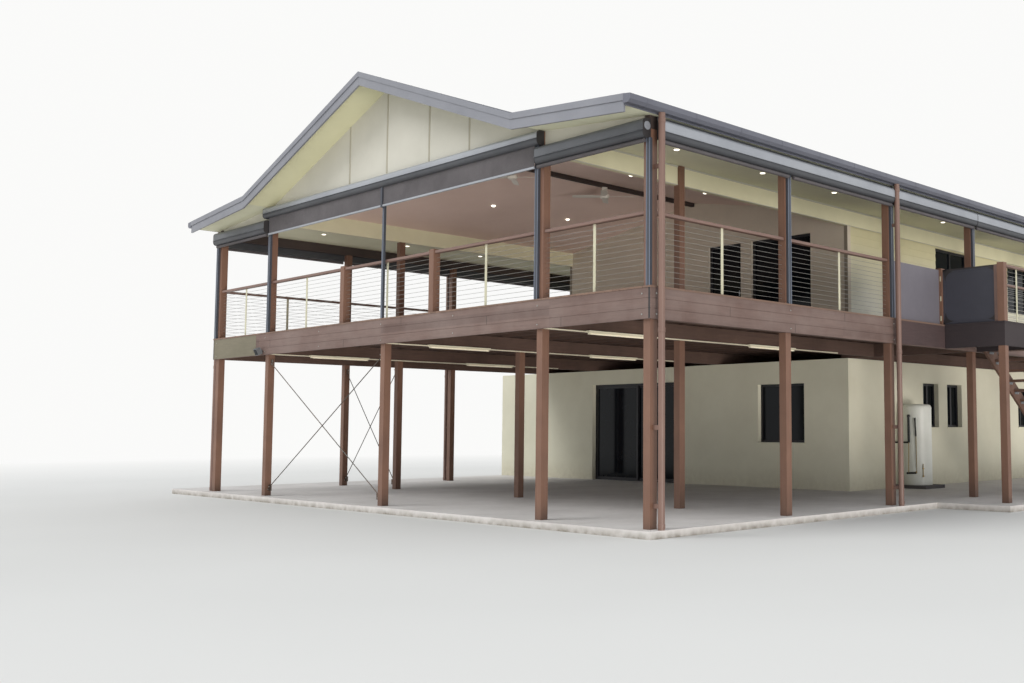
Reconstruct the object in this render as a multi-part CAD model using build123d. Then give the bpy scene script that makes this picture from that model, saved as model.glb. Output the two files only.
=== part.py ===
"""Raised house with a timber deck on posts under a broken-back gable roof.

Millimetres, +Z up. X runs across the house, with the ridge at X = 0. Y runs along the house, with the
open end of the deck at -Y. Z = 0 is the underside of the floor slab, at the middle of its length.
"""
from build123d import *
from math import atan, cos, degrees, radians, sin, tan
import os

# Plan
half_span = 4090          # ridge line to the inner row of posts
veranda = 2155            # inner row of posts to the outer row
bay = 2857                # spacing of the rows of posts along the house
bays = 6
open_bays = 3             # bays at the front with no rooms
room_inset = 540          # outer face of the lower walls inside the inner row of posts
core_out = 20             # outer face of the upper walls outside the inner row of posts
front_wall_lead = 100     # lower front wall's outer face in front of its row of posts
upper_wall_lead = 900     # upper front wall's outer face in front of the same row
slab_margin = 250         # slab past the posts' centres
left_margin = 1555        # slab past the posts' centres on the left, under the end of the wall
pad_margin = 390          # slab past the landing's outer posts
pad_start = 680           # slab before the landing's near post

# Levels above the slab
slab_t = 100
deck_level = 3130
post = 125                # side of every square post
board_t = 25
joist_w = 45
joist_d = 150
joist_gap = 480
bearer_w = 90
bearer_d = 255
bearer_gap = 2
nosing = 8

# Fascia of three boards
fascia_t = 45
fascia_boards = 3
fascia_groove = 6

# Walls
lower_wall_t = 200
wing_inset = 20           # end of the lower front wall inside the slab's left edge
upper_wall_t = 110
lap = 150                 # visible height of one weatherboard
lap_step = 9              # how far each weatherboard stands out at its lower edge

# Roof
eave_level = 5530         # top of the roof's ribs over the outer row of posts
main_pitch = 20.4
veranda_pitch = 5.0
roof_depth = 140          # top of the ribs to the underside of the soffit, measured upright
gable_overhang = 630
eave_overhang = 140
lining_t = 10
soffit_joint = 1
sheet_joint = 1
sheet_lap = 20            # veranda sheets past the inner face of the gutter
rib_h = 29
rib_pitch = 300
rib_top = 30
rib_base = 60
sheet_t = 3
rafter_w = 45
rafters_per_bay = 2
ridge_board_w = 40
cap_w = 180
cap_t = 3
barge_t = 30
barge_d = 230
barge_step = 15
barge_step_d = 90
barge_joint = 1
gutter_w = 130
gutter_d = 110
gutter_t = 3
gutter_cut = 40           # sloped lower front corner
gutter_fall = 15          # front lip of the gutter below the top of the ribs
pipe_d = 90
pipe_wall = 3
pipe_off = 205            # centre of a downpipe outside the posts' centres
pipe_rows = (0, 2, 6)
clip_w = 60
clip_t = 20
clip_levels = (300, 1300, 4700)

# Beams and ceilings
eave_beam_w = 90
lintel_drop = 45          # top of the side beams below the soffit over the outer row of posts
lintel_side_d = 145
lintel_main_d = 240
gable_wall_t = 90
bulkhead_w = 90
bulkhead_d = 322
ceiling_rise = 700
ceiling_t = 12
ridge_beam_w = 90
ridge_beam_d = 200
ridge_beam_drop = 80

# Balustrade
rail_level = 1000
rail_w = 90
rail_d = 45
wires = 12
wire_d = 6
first_wire = 80
stanchion_w = 50
stanchion_t = 10
newel_rise = 25
newel_row = 1370          # the two newels of the front balustrade, from the ridge line

# Landing and stair
landing_reach = 1205      # outer posts of the landing past the outer row of posts
landing_start = 1095      # near post of the landing before the row of posts it ends at
stair_row = 3
risers = 17
going = 255
tread_t = 45
tread_back = 8            # back edge of each tread in front of the nosing above it
stringer_t = 45
stringer_d = 260
stair_gap = 30

# Blinds
box_out = 140
box_round = 60
box_gap = 12              # long headbox below the soffit at the posts' outer faces
side_drop = 63            # side headboxes below the soffit at the posts' outer faces
side_box_d = 250
main_box_d = 205
box_end = 55              # clearance of a box from the middle of a downpipe
box_joint = 5
roll_w = 70
roll_drop = 60
mesh_drop = 335
mesh_t = 6
bar_d = 35
blind_gap = 3
guide_w = 70
guide_t = 45
mid_guide_w = 44
inner_guide_in = 50       # guides of the middle blinds off the inner posts' centres, inwards
outer_guide_out = 60      # guides of the side blinds off the corner posts' centres, outwards
flank_rows = (1, 2, 3)    # rows of posts with guides along the sides

# Openings: along the wall from, to, above the floor from, to
door_x = (-4140, -1180)
door_head = 2350
lower_window_x = (1180, 2430)
lower_window_z = (970, 2220)
narrow_w = 680
narrow_z = (1290, 2270)
narrow_ys = (2830, 3900, 7500)
upper_door_head = 2090
upper_door_xs = ((470, 1380), (1675, 3215))
double_w = 1200           # doors at least this wide have two leaves
upper_side_door_y = (2510, 3930)
upper_window_z = (930, 2090)
upper_side_window_y = (5930, 7050)
rear_windows = (-2360, 0, 2360)
rear_window_w = 1400
frame_w = 50
frame_d = 60
reveal = 110
glass_t = 6
leaf_gap = 6
runner_w = 80
runner_in = 120
seat_gap = 0.3            # carried moving piece above its seat

# Fans
fan_rows = (-5950, -3580)
fan_drop = 130
fan_r = 660
fan_blades = 4
blade_w = 125
blade_t = 6
blade_twist = 12
hub_r = 95
hub_h = 100
rod_r = 12
fan_gap = 6
canopy_r = 60
canopy_h = 40
cup_r = 65
cup_h = 50
hub_round = 35
blade_root = 75
blade_start = 45

# Services
light_starts = (780, 4530)     # near ends of the batten lights past the front row of posts
light_l = 1300
light_w = 80
light_d = 60
light_end = 20
tank_r = 310
tank_h = 1710
tank_y = 1950
tank_round = 78
tank_gap = 40
plinth_h = 70
plinth_side = 780
brace_r = 8
brace_inset = 150         # ends of a brace from the slab and from the bearers
plate_side = 110
plate_t = 8
lamp_off = 60             # lamp head from the face of the inner post
lamp_stem = 30
lamp_arm = 40
lamp_drop = 20
lamp_head = (120, 90, 130)
lamp_tilt = 25

# Places worked out from the sizes above
outer_x = half_span + veranda
front_y = -bays * bay / 2
rear_y = -front_y
rows = [front_y + bay * i for i in range(bays + 1)]
half_post = post / 2
floor_z = slab_t
deck_z = floor_z + deck_level
joist_top = deck_z - board_t
joist_base = joist_top - joist_d
bearer_base = joist_base - bearer_d
fascia_in = half_post
fascia_out = fascia_in + fascia_t
wall_x = half_span - room_inset
core_x = half_span + core_out
room_y = rows[open_bays] - front_wall_lead
upper_y = rows[open_bays] - upper_wall_lead
wall_end_y = rear_y + half_post
wall_left_x = -outer_x - half_post
break_z = floor_z + eave_level + veranda * tan(radians(veranda_pitch))
eave_x = outer_x + eave_overhang
barge_y = front_y - gable_overhang
landing_x = outer_x + landing_reach
landing_y = rows[stair_row] - landing_start
landing_end = rows[stair_row]
rise = deck_level / risers


def roof_top(x):
    """Height of the top of the roof's ribs at a distance x from the ridge."""
    x = abs(x)
    if x <= half_span:
        return break_z + (half_span - x) * tan(radians(main_pitch))
    return break_z - (x - half_span) * tan(radians(veranda_pitch))


def soffit(x):
    """Height of the underside of the soffit lining at a distance x from the ridge."""
    return roof_top(x) - roof_depth


def block(x0, x1, y0, y1, z0, z1):
    """Box between two corners."""
    centre = Pos((x0 + x1) / 2, (y0 + y1) / 2, (z0 + z1) / 2)
    return centre * Box(abs(x1 - x0), abs(y1 - y0), abs(z1 - z0))


def prism_y(outline, y0, y1):
    """Outline of (x, z) points run along Y."""
    wire = Polyline(*[(x, y0, z) for x, z in outline], close=True)
    return extrude(make_face(wire), amount=y1 - y0, dir=(0, 1, 0))


def prism_x(outline, x0, x1):
    """Outline of (y, z) points run along X."""
    wire = Polyline(*[(x0, y, z) for y, z in outline], close=True)
    return extrude(make_face(wire), amount=x1 - x0, dir=(1, 0, 0))


def band(xs, top, depth, y0, y1):
    """Strip that follows a slope: its upper edge at top(x), upright depth below it."""
    upper = [(x, top(x)) for x in xs]
    lower = [(x, top(x) - depth) for x in reversed(xs)]
    return prism_y(upper + lower, y0, y1)


def tube_z(x, y, z0, z1, r, wall):
    """Upright pipe."""
    outer = Pos(x, y, (z0 + z1) / 2) * Cylinder(r, z1 - z0)
    inner = Pos(x, y, (z0 + z1) / 2) * Cylinder(r - wall, z1 - z0)
    return outer - inner


def mirror_x(shape):
    """The same piece on the other side of the ridge."""
    return mirror(shape, about=Plane.YZ)


def both_sides(shapes):
    """Pieces and their mirror images across the ridge."""
    return shapes + [mirror_x(s) for s in shapes]


def save(name, shapes):
    """Write one node from its pieces."""
    solids = [solid for shape in shapes for solid in shape.solids()]
    export_step(Compound(solids), f"parts/{name}.step")


def square_post(x, y, z0, z1):
    return block(x - half_post, x + half_post, y - half_post, y + half_post, z0, z1)


# Ground floor

def floor_slab():
    edge = outer_x + slab_margin
    main = block(-outer_x - left_margin, edge, front_y - slab_margin, rear_y + slab_margin, 0, slab_t)
    stair_end = stair_foot() + post + slab_margin / 5
    pad = block(edge - slab_t, landing_x + pad_margin, landing_y - pad_start, stair_end, 0, slab_t)
    return [main + pad]


def lower_posts():
    places = [(x, front_y) for x in (-outer_x, -half_span, 0, half_span, outer_x)]
    places += [(x, rows[1]) for x in (-outer_x, -half_span, 0, half_span)]
    places += [(-outer_x, rows[2])]
    places += [(outer_x, y) for y in rows[1:]]
    places += [(landing_x, landing_y), (landing_x, landing_end)]
    return [square_post(x, y, floor_z, bearer_base) for x, y in places]


def brace(x0, x1, y, side):
    """Rod from the foot of one post to the head of another, with a plate at each end."""
    z0 = floor_z + brace_inset
    z1 = bearer_base - brace_inset
    run = x1 - x0
    length = (run ** 2 + (z1 - z0) ** 2) ** 0.5
    lean = degrees(atan((z1 - z0) / run))
    middle = ((x0 + x1) / 2, y + side * 2 * brace_r, (z0 + z1) / 2)
    rod = Pos(*middle) * Rot(0, -lean, 0) * Rot(0, 90, 0) * Cylinder(brace_r, length - plate_side / 2)
    plates = []
    for x, z, inward in ((x0, z0, 1), (x1, z1, -1)):
        lug = block(x, x + inward * plate_side, middle[1] - plate_t / 2, middle[1] + plate_t / 2,
                    z - plate_side / 2, z + plate_side / 2)
        plates.append(lug)
    return rod + plates[0] + plates[1]


def brace_rods():
    front = (-half_span + half_post, -half_post)
    left = (-outer_x + half_post, -half_span - half_post)
    rods = []
    for (x0, x1), y in ((front, front_y), (left, rows[1])):
        rods.append(brace(x0, x1, y, 1))
        mirrored = mirror(brace(x0, x1, y, -1), about=Plane.YZ.offset((x0 + x1) / 2))
        rods.append(mirrored)
    return rods


# Deck

def deck_bearers():
    """Bearers along the lines of posts; the right inner one steps to the line of the wall under the rooms."""
    half = bearer_w / 2
    reach = outer_x + fascia_in
    y0, y1 = front_y - fascia_in, rear_y + fascia_in
    wall_line = wall_x - lower_wall_t / 2
    stop = rows[open_bays] - half - bearer_gap
    start = rows[open_bays] + half + bearer_gap
    bars = [(-reach, -reach + bearer_w, y0, y1), (reach - bearer_w, reach, y0, y1),
            (-half_span - half, -half_span + half, y0, y1), (-half, half, y0, y1),
            (half_span - half, half_span + half, y0, stop), (wall_line - half, wall_line + half, start, y1)]
    bars.append((wall_x - lower_wall_t, reach - bearer_w - bearer_gap, stop + bearer_gap, start - bearer_gap))
    return [block(*bar, bearer_base, joist_base) for bar in bars]


def joist_starts():
    """Front faces of the joists, evenly spread between the two ends of the deck."""
    reach = rear_y + fascia_in
    count = int((2 * reach - joist_w) // joist_gap)
    step = (2 * reach - joist_w) / count
    return [-reach + step * i for i in range(count + 1)]


def deck_joists():
    reach = outer_x + fascia_in
    return [block(-reach, reach, y, y + joist_w, joist_base, joist_top) for y in joist_starts()]


def deck_floor():
    edge = outer_x + fascia_out + nosing
    return [block(-edge, edge, front_y - fascia_out - nosing, rear_y + fascia_out + nosing, joist_top, deck_z)]


def fascia_outline(inner, outer, z0, z1):
    """Three boards one above the other, with a groove at each joint, as (across, up) points."""
    height = (z1 - z0) / fascia_boards
    points = [(inner, z0), (outer, z0)]
    for i in range(1, fascia_boards):
        z = z0 + height * i
        inset = outer - fascia_groove if outer > inner else outer + fascia_groove
        points += [(outer, z - fascia_groove), (inset, z), (outer, z + fascia_groove)]
    return points + [(outer, z1), (inner, z1)]


def deck_fascia():
    front = fascia_outline(front_y - fascia_in, front_y - fascia_out, bearer_base, joist_top)
    rear = fascia_outline(rear_y + fascia_in, rear_y + fascia_out, bearer_base, joist_top)
    right = fascia_outline(outer_x + fascia_in, outer_x + fascia_out, bearer_base, joist_top)
    edge = outer_x + fascia_out
    side = prism_y(right, front_y - fascia_in + bearer_gap, rear_y + fascia_in - bearer_gap)
    return [prism_x(front, -edge, edge), prism_x(rear, -edge, edge), side, mirror_x(side)]


def lintel_top():
    return soffit(outer_x) - lintel_drop


def eave_beam_base():
    return lintel_top() - lintel_side_d


def main_top():
    """Top of the deep beam and the long headbox over the middle bays."""
    return soffit(half_span + half_post) - box_gap


def bulkhead_base():
    return soffit(core_x) - bulkhead_d


def notched_post():
    """Inner post with a seat for the bulkhead and a cheek that runs up beside it."""
    y0, y1 = rows[1] - half_post, rows[1] + half_post
    cheek = half_span + half_post
    seat = block(half_span - half_post, core_x, y0, y1, deck_z, bulkhead_base())
    return seat + block(core_x, cheek, y0, y1, deck_z, soffit(cheek))


def upper_posts():
    """Posts under the eave beams, beside the deep lintel and, inside, under the bulkheads."""
    outer = [square_post(x, y, deck_z, eave_beam_base()) for y in rows for x in (-outer_x, outer_x)]
    front = [square_post(x, front_y, deck_z, main_top()) for x in (-half_span, half_span)]
    return outer + front + both_sides([notched_post()])


# Balustrade

def span(length, slope=0.0):
    """Rail, wires and one mid stanchion along +X from the origin, rising at a slope."""
    lift = tan(radians(slope))

    def strip(x0, x1, z0, z1, width):
        outline = [(x0, z0 + x0 * lift), (x1, z0 + x1 * lift), (x1, z1 + x1 * lift), (x0, z1 + x0 * lift)]
        return prism_y(outline, -width / 2, width / 2)

    rail_z = rail_level - rail_d
    body = strip(0, length, rail_z, rail_level, rail_w)
    spacing = (rail_z - first_wire) / wires
    for i in range(wires):
        z = first_wire + spacing * i
        body += strip(0, length, z - wire_d / 2, z + wire_d / 2, wire_d)
    middle = length / 2
    body += strip(middle - stanchion_w / 2, middle + stanchion_w / 2, 0, rail_z + rail_d / 2, stanchion_t)
    return body


def run_x(x0, x1, y):
    """Balustrade span along X between two faces."""
    return Pos(x0, y, deck_z) * span(x1 - x0)


def run_y(x, y0, y1):
    """Balustrade span along Y between two faces."""
    return Pos(x, y0, deck_z) * Rot(0, 0, 90) * span(y1 - y0)


def newel(x, y):
    return square_post(x, y, deck_z, deck_z + rail_level + newel_rise)


def newel_posts():
    """Short posts of the balustrades, on the deck, on the landing and at the foot of the stair."""
    foot = square_post(stair_rail_x(), stair_foot() + half_post, floor_z, floor_z + rail_level + newel_rise)
    return [newel(-newel_row, front_y), newel(newel_row, front_y), newel(landing_x, landing_y),
            newel(landing_x, landing_end), newel(outer_x, landing_y), foot]


def front_balustrade():
    stops = [-outer_x, -half_span, -newel_row, newel_row, half_span, outer_x]
    return [run_x(a + half_post, b - half_post, front_y) for a, b in zip(stops, stops[1:])]


def left_balustrade():
    return [run_y(-outer_x, a + half_post, b - half_post) for a, b in zip(rows, rows[1:])]


def right_balustrade():
    pairs = [(a, b) for i, (a, b) in enumerate(zip(rows, rows[1:])) if i != stair_row - 1]
    return [run_y(outer_x, a + half_post, b - half_post) for a, b in pairs]


def rear_balustrade():
    return [run_x(core_x, outer_x - half_post, rear_y), run_x(-outer_x + half_post, -core_x, rear_y)]


def side_screen():
    y0 = rows[stair_row - 1] + half_post
    y1 = landing_y - half_post
    half = stanchion_t
    return [block(outer_x - half, outer_x + half, y0, y1, deck_z + nosing, deck_z + rail_level)]


def landing_screen():
    """Dark panel in a frame that faces the front of the house."""
    x0, x1 = outer_x + half_post, landing_x - half_post
    z0, z1 = deck_z + nosing, deck_z + rail_level
    y0, y1 = landing_y - stanchion_t, landing_y + stanchion_t
    panel = block(x0, x1, y0, y1, z0, z1)
    rim = block(x0, x1, y0 - nosing, y1 + nosing, z0, z1)
    rim -= block(x0 + rail_d, x1 - rail_d, y0 - rail_d, y1 + rail_d, z0 + rail_d, z1 - rail_d)
    return [panel + rim]


# Landing and stair

def landing():
    """Floor and fascia of the landing, carried by its own two posts and the side of the deck."""
    x0 = outer_x + fascia_out + nosing
    x1 = landing_x + half_post
    y0 = landing_y - half_post
    y1 = landing_end + half_post
    floor = block(x0, x1 + nosing, y0 - nosing, y1, joist_top, deck_z)
    rim = block(x0, x1, y0, y1, bearer_base, joist_top)
    rim -= block(x0 - 1, x1 - fascia_t, y0 + fascia_t, y1 - fascia_t, bearer_base - 1, joist_top)
    return [floor + rim]


def stair_line():
    """Places of the nosings: distance along Y from the landing's end and height, top to bottom."""
    start = landing_end + half_post
    return [(start + going * (i + 1), deck_z - rise * (i + 1)) for i in range(risers - 1)]


def stringer_xs():
    inner = outer_x + fascia_out + nosing + stair_gap
    outer = landing_x + half_post - stringer_t
    return inner, outer


def stair_stringers():
    start = landing_end + half_post
    drop = rise / going
    foot = start + (deck_z - floor_z) / drop
    plumb = stringer_d / cos(atan(drop))
    top = deck_z - board_t
    run_top = start + board_t / drop
    outline = [(start, top), (run_top, top), (foot, floor_z), (foot - plumb / drop, floor_z),
               (start, top - plumb + board_t)]
    return [prism_x(outline, x, x + stringer_t) for x in stringer_xs()]


def stair_treads():
    inner, outer = stringer_xs()
    treads = []
    for y, z in stair_line():
        treads.append(block(inner + stringer_t, outer, y - going + tread_back, y, z - tread_t, z))
    return treads


def stair_rail_x():
    return stringer_xs()[1] + stringer_t / 2


def stair_foot():
    """Where the strings and the raked balustrade end, on the slab."""
    return landing_end + half_post + going * risers


def stair_balustrade():
    """Raked balustrade on the outer string, and a level one at the side of the landing."""
    start = landing_end + half_post
    lean = degrees(atan(rise / going))
    raked = Pos(stair_rail_x(), start, deck_z) * Rot(0, 0, 90) * span(stair_foot() - start, -lean)
    level = run_y(landing_x, landing_y + half_post, landing_end - half_post)
    return [raked, level]


# Walls

def wall_holes(wall, holes):
    for hole in holes:
        wall -= hole
    return wall


def lower_front_walls():
    """Front wall of the lower rooms: from its end past the house to the door, beyond it and over it."""
    y0, y1 = room_y, room_y + lower_wall_t
    head = floor_z + door_head
    left = block(-outer_x - left_margin + wing_inset, door_x[0], y0, y1, floor_z, bearer_base)
    right = block(door_x[1], wall_x, y0, y1, floor_z, bearer_base)
    right -= block(*lower_window_x, y0 - 1, y1 + 1, floor_z + lower_window_z[0], floor_z + lower_window_z[1])
    lintel = block(door_x[0], door_x[1], y0, y1, head, bearer_base)
    return left, right, lintel


def lower_side_wall(x0):
    """Masonry wall along the side of the house, with its narrow windows."""
    x1 = x0 + lower_wall_t
    wall = block(x0, x1, room_y + lower_wall_t, wall_end_y, floor_z, bearer_base)
    holes = [block(x0 - 1, x1 + 1, y, y + narrow_w, floor_z + narrow_z[0], floor_z + narrow_z[1])
             for y in narrow_ys]
    return [wall_holes(wall, holes)]


def rear_holes(y0, y1, base, sill, head):
    half = rear_window_w / 2
    return [block(x - half, x + half, y0 - 1, y1 + 1, base + sill, base + head) for x in rear_windows]


def lower_rear_wall():
    y0, y1 = wall_end_y - lower_wall_t, wall_end_y
    wall = block(wall_left_x + lower_wall_t, wall_x - lower_wall_t, y0, y1, floor_z, bearer_base)
    return [wall_holes(wall, rear_holes(y0, y1, floor_z, *lower_window_z))]


def weatherboards(z0, z1):
    """Outline of lapped boards on a wall's outer face, as (out, up) points."""
    count = int((z1 - z0) // lap)
    points = []
    for i in range(count):
        z = z0 + lap * i
        points += [(lap_step, z), (0, z + lap)]
    if z0 + lap * count < z1:
        points += [(lap_step, z0 + lap * count), (0, z1)]
    return points


def upper_side_wall(holes):
    """Wall of lapped boards that faces +X."""
    inner = core_x - upper_wall_t
    top = bulkhead_base()
    outline = [(inner, deck_z)]
    outline += [(core_x - lap_step + out, z) for out, z in weatherboards(deck_z, top)]
    outline += [(inner, top)]
    wall = prism_y(outline, upper_y + upper_wall_t, wall_end_y - upper_wall_t)
    return wall_holes(wall, holes)


def upper_window_levels():
    return deck_z + upper_window_z[0], deck_z + upper_window_z[1]


def upper_side_walls():
    x0, x1 = core_x - upper_wall_t, core_x
    door = block(x0 - 1, x1 + 1, *upper_side_door_y, deck_z, deck_z + upper_door_head)
    window = block(x0 - 1, x1 + 1, *upper_side_window_y, *upper_window_levels())
    return both_sides([upper_side_wall([door, window])])


def ceiling_line(x):
    """Height of the underside of the raked ceiling at a distance x from the ridge."""
    return soffit(core_x) + ceiling_rise * (1 - abs(x) / (core_x - bulkhead_w))


def half_beam():
    return ridge_beam_w / 2


def ridge_beam_base():
    return ceiling_line(half_beam()) - ridge_beam_drop


def upper_front_wall():
    """Wall of the upper rooms that faces the deck, up to the raked ceiling."""
    y0, y1 = upper_y, upper_y + upper_wall_t
    base = bulkhead_base()
    edge = core_x - bulkhead_w
    under = half_beam()
    right = [(core_x, deck_z), (core_x, base), (edge, base), (edge, ceiling_line(edge)),
             (under, ceiling_line(under)), (under, ridge_beam_base())]
    left = [(-x, z) for x, z in reversed(right)]
    head = deck_z + upper_door_head
    wall = prism_y(right + left, y0, y1)
    return [wall_holes(wall, [block(*xs, y0 - 1, y1 + 1, deck_z, head) for xs in upper_door_xs])]


def upper_rear_wall():
    """Rear wall of the upper rooms, which runs up into the gable."""
    y0, y1 = wall_end_y - upper_wall_t, wall_end_y
    right = [(core_x, deck_z), (core_x, soffit(core_x)), (half_span, soffit(half_span))]
    left = [(-x, z) for x, z in reversed(right)]
    wall = prism_y(right + [(0, soffit(0))] + left, y0, y1)
    return [wall_holes(wall, rear_holes(y0, y1, deck_z, *upper_window_z))]


def front_gable_wall():
    """Panel over the blinds of the open end, stepped down over the side bays."""
    y0 = front_y - gable_wall_t / 2
    side, main = lintel_top(), main_top()
    step_x, end_x = half_span + half_post, outer_x - half_post
    right = [(step_x, main), (step_x, side), (end_x, side), (end_x, soffit(end_x)),
             (half_span, soffit(half_span))]
    left = [(-x, z) for x, z in reversed(right)]
    return [prism_y(right + [(0, soffit(0))] + left, y0, y0 + gable_wall_t)]


# Roof

def eave_beams():
    half = eave_beam_w / 2
    xs = (outer_x - half, outer_x + half)
    upper = [(x, soffit(x)) for x in reversed(xs)]
    outline = [(x, eave_beam_base()) for x in xs] + upper
    return both_sides([prism_y(outline, front_y - half_post, rear_y + half_post)])


def gable_lintels():
    """Beams over the open end: one deep beam over the middle bays and one over each side bay."""
    half = gable_wall_t / 2
    y0, y1 = front_y - half, front_y + half
    main = block(-half_span + half_post, half_span - half_post, y0, y1, main_top() - lintel_main_d, main_top())
    side = block(half_span + half_post, outer_x - eave_beam_w / 2, y0, y1, eave_beam_base(), lintel_top())
    return [main] + both_sides([side])


def ceiling_bulkheads():
    """Deep boxed beams along both sides of the open room and over the upper side walls."""
    y0, y1 = front_y + half_post, wall_end_y - upper_wall_t
    return both_sides([block(core_x - bulkhead_w, core_x, y0, y1, bulkhead_base(), soffit(core_x))])


def ridge_beam():
    base = ridge_beam_base()
    half = half_beam()
    y0, y1 = front_y + gable_wall_t / 2, wall_end_y - upper_wall_t
    return [block(-half, half, y0, y1, base, base + ridge_beam_d)]


def room_ceiling():
    xs = (half_beam(), core_x - bulkhead_w)
    y0, y1 = front_y + gable_wall_t / 2, wall_end_y - upper_wall_t
    upper = [(x, ceiling_line(x) + ceiling_t) for x in xs]
    lower = [(x, ceiling_line(x)) for x in reversed(xs)]
    return both_sides([prism_y(upper + lower, y0, y1)])


def lining(x0, x1, y0, y1):
    """Board of the soffit lining on one slope, between two lines along the house."""
    return band((x0, x1), lambda x: soffit(x) + lining_t, lining_t, y0, y1)


def veranda_soffits():
    """Lining under each veranda."""
    end = barge_y + barge_t
    return both_sides([lining(half_span, eave_x, end, -end)])


def gable_soffits():
    """Lining under the main slopes past each gable wall."""
    end = barge_y + barge_t
    front = lining(soffit_joint, half_span, end, front_y + gable_wall_t / 2)
    rear = lining(soffit_joint, half_span, wall_end_y, -end)
    return both_sides([front, rear])


def rafters():
    """Broken-back rafters between the linings and the sheets, in pairs against the ridge board."""
    start = ridge_board_w / 2
    xs = (start, half_span, eave_x - gutter_t)
    depth = roof_depth - lining_t - rib_h - sheet_t
    top = lambda x: roof_top(x) - rib_h - sheet_t
    count = bays * rafters_per_bay
    end = gable_overhang - barge_t
    first, last = front_y - end, rear_y + end
    step = (last - first - rafter_w) / count
    pairs = [band(xs, top, depth, first + step * i, first + step * i + rafter_w) for i in range(count + 1)]
    return both_sides(pairs)


def ridge_board():
    end = gable_overhang - barge_t
    half = ridge_board_w / 2
    top = roof_top(half) - rib_h - sheet_t
    base = soffit(0) + lining_t
    return [block(-half, half, front_y - end, rear_y + end, base, top)]


def ribbed_sheet(x0, x1, pitch):
    """Ribbed metal sheet on one slope from x0 down to x1, over the whole length of the roof."""
    y0, y1 = barge_y, -barge_y
    count = int((y1 - y0) // rib_pitch)
    margin = (y1 - y0 - rib_pitch * count) / 2
    low, high = -rib_h, 0
    points = [(y0, low - sheet_t), (y0, low)]
    for i in range(count):
        y = y0 + margin + rib_pitch * (i + 0.5)
        points += [(y - rib_base / 2, low), (y - rib_top / 2, high), (y + rib_top / 2, high),
                   (y + rib_base / 2, low)]
    points += [(y1, low), (y1, low - sheet_t)]
    fall = tan(radians(pitch))
    start = roof_top(x0)
    wire = Polyline(*[(x0, y, start + up) for y, up in points], close=True)
    return extrude(make_face(wire), amount=(x1 - x0) / cos(radians(pitch)), dir=(1, 0, -fall))


def roof_sheets_main():
    return both_sides([ribbed_sheet(sheet_joint, half_span, main_pitch)])


def roof_sheets_veranda():
    return both_sides([ribbed_sheet(half_span + sheet_joint, eave_x + sheet_lap, veranda_pitch)])


def ridge_cap():
    """Folded capping over the ridge."""
    xs = (0, cap_w)
    top = lambda x: roof_top(x) + cap_t
    y0, y1 = barge_y, -barge_y
    half = band(xs, top, cap_t, y0, y1)
    return [half + mirror_x(half)]


def barge_board(x0, x1):
    """Straight board along one slope of a gable edge, with a capping that steps out over its top."""
    board = band((x0, x1), lambda x: roof_top(x) - rib_h - sheet_t, barge_d - rib_h - sheet_t,
                 barge_y, barge_y + barge_t)
    cap = band((x0, x1), lambda x: roof_top(x) + cap_t, barge_step_d, barge_y - barge_step, barge_y)
    return board + cap


def barge_boards():
    half = barge_joint / 2
    stops = (0, half_span, eave_x)
    boards = both_sides([barge_board(a + half, b - half) for a, b in zip(stops, stops[1:])])
    return boards + [mirror(board, about=Plane.XZ) for board in boards]


def gutters():
    """Open troughs along the eaves, closed at the ends and cut down at the back under the sheets."""
    x0, x1 = eave_x, eave_x + gutter_w
    top = roof_top(eave_x) - gutter_fall
    base = top - gutter_d
    y0, y1 = barge_y, -barge_y
    outer = [(x0, top), (x0, base), (x1 - gutter_cut, base), (x1, base + gutter_cut), (x1, top)]
    a0, a1 = x0 + gutter_t, x1 - gutter_t
    low = base + gutter_t
    inner = [(a0, top + gutter_t), (a0, low), (a1 - gutter_cut, low), (a1, low + gutter_cut), (a1, top + gutter_t)]
    trough = prism_y(outer, y0, y1) - prism_y(inner, y0 + gutter_t, y1 - gutter_t)
    end_x = eave_x + sheet_lap
    back = roof_top(end_x) - rib_h - sheet_t - gutter_t
    trough -= block(x0 - gutter_t, end_x + gutter_t, y0 - gutter_t, y1 + gutter_t, back, top + gutter_t)
    return both_sides([trough])


def downpipes():
    """Round pipes from the gutter to the ground, with clips back to the posts."""
    top = roof_top(eave_x) - gutter_fall - gutter_d
    x = outer_x + pipe_off
    pieces = []
    for row in pipe_rows:
        y = rows[row]
        pipe = tube_z(x, y, floor_z, top, pipe_d / 2, pipe_wall)
        for z in clip_levels:
            over_guide = z > deck_level and row in flank_rows
            near = outer_x + half_post + (guide_t if over_guide else 0)
            z += floor_z
            clip = block(near, x, y - clip_t / 2, y + clip_t / 2, z - clip_w / 2, z + clip_w / 2)
            pipe += clip - Pos(x, y, z) * Cylinder(pipe_d / 2 - pipe_wall / 2, clip_w * 2)
        pieces.append(pipe)
    return both_sides(pieces)


# Blinds

def side_top():
    return soffit(outer_x + half_post) - side_drop


def side_box_base():
    return side_top() - side_box_d


def main_box_base():
    return main_top() - main_box_d


def headbox(length, depth):
    """Headbox along +X with its back on the XZ plane, its top at 0 and its front edges rounded."""
    box = block(0, length, -box_out, 0, -depth, 0)
    return fillet(box.edges().filter_by(Axis.X).sort_by(Axis.Y)[:2], box_round)


def flank_box(y0, y1):
    return Pos(outer_x + half_post, y0, side_top()) * Rot(0, 0, 90) * headbox(y1 - y0, side_box_d)


def blind_boxes():
    """Headboxes: one long and two short ones over the open end, and three along each side."""
    face = front_y - half_post
    reach = half_span + half_post
    start = half_span + blind_gap
    main = Pos(-reach, face, main_top()) * headbox(2 * reach, main_box_d)
    side = Pos(start, face, side_top()) * headbox(outer_x + half_post - start, side_box_d)
    ends = ((rows[0] + box_end, rows[2] - box_end), (rows[2] + box_end, rows[3] - box_joint),
            (rows[3] + box_joint, rows[4]))
    return [main] + both_sides([side] + [flank_box(a, b) for a, b in ends])


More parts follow.
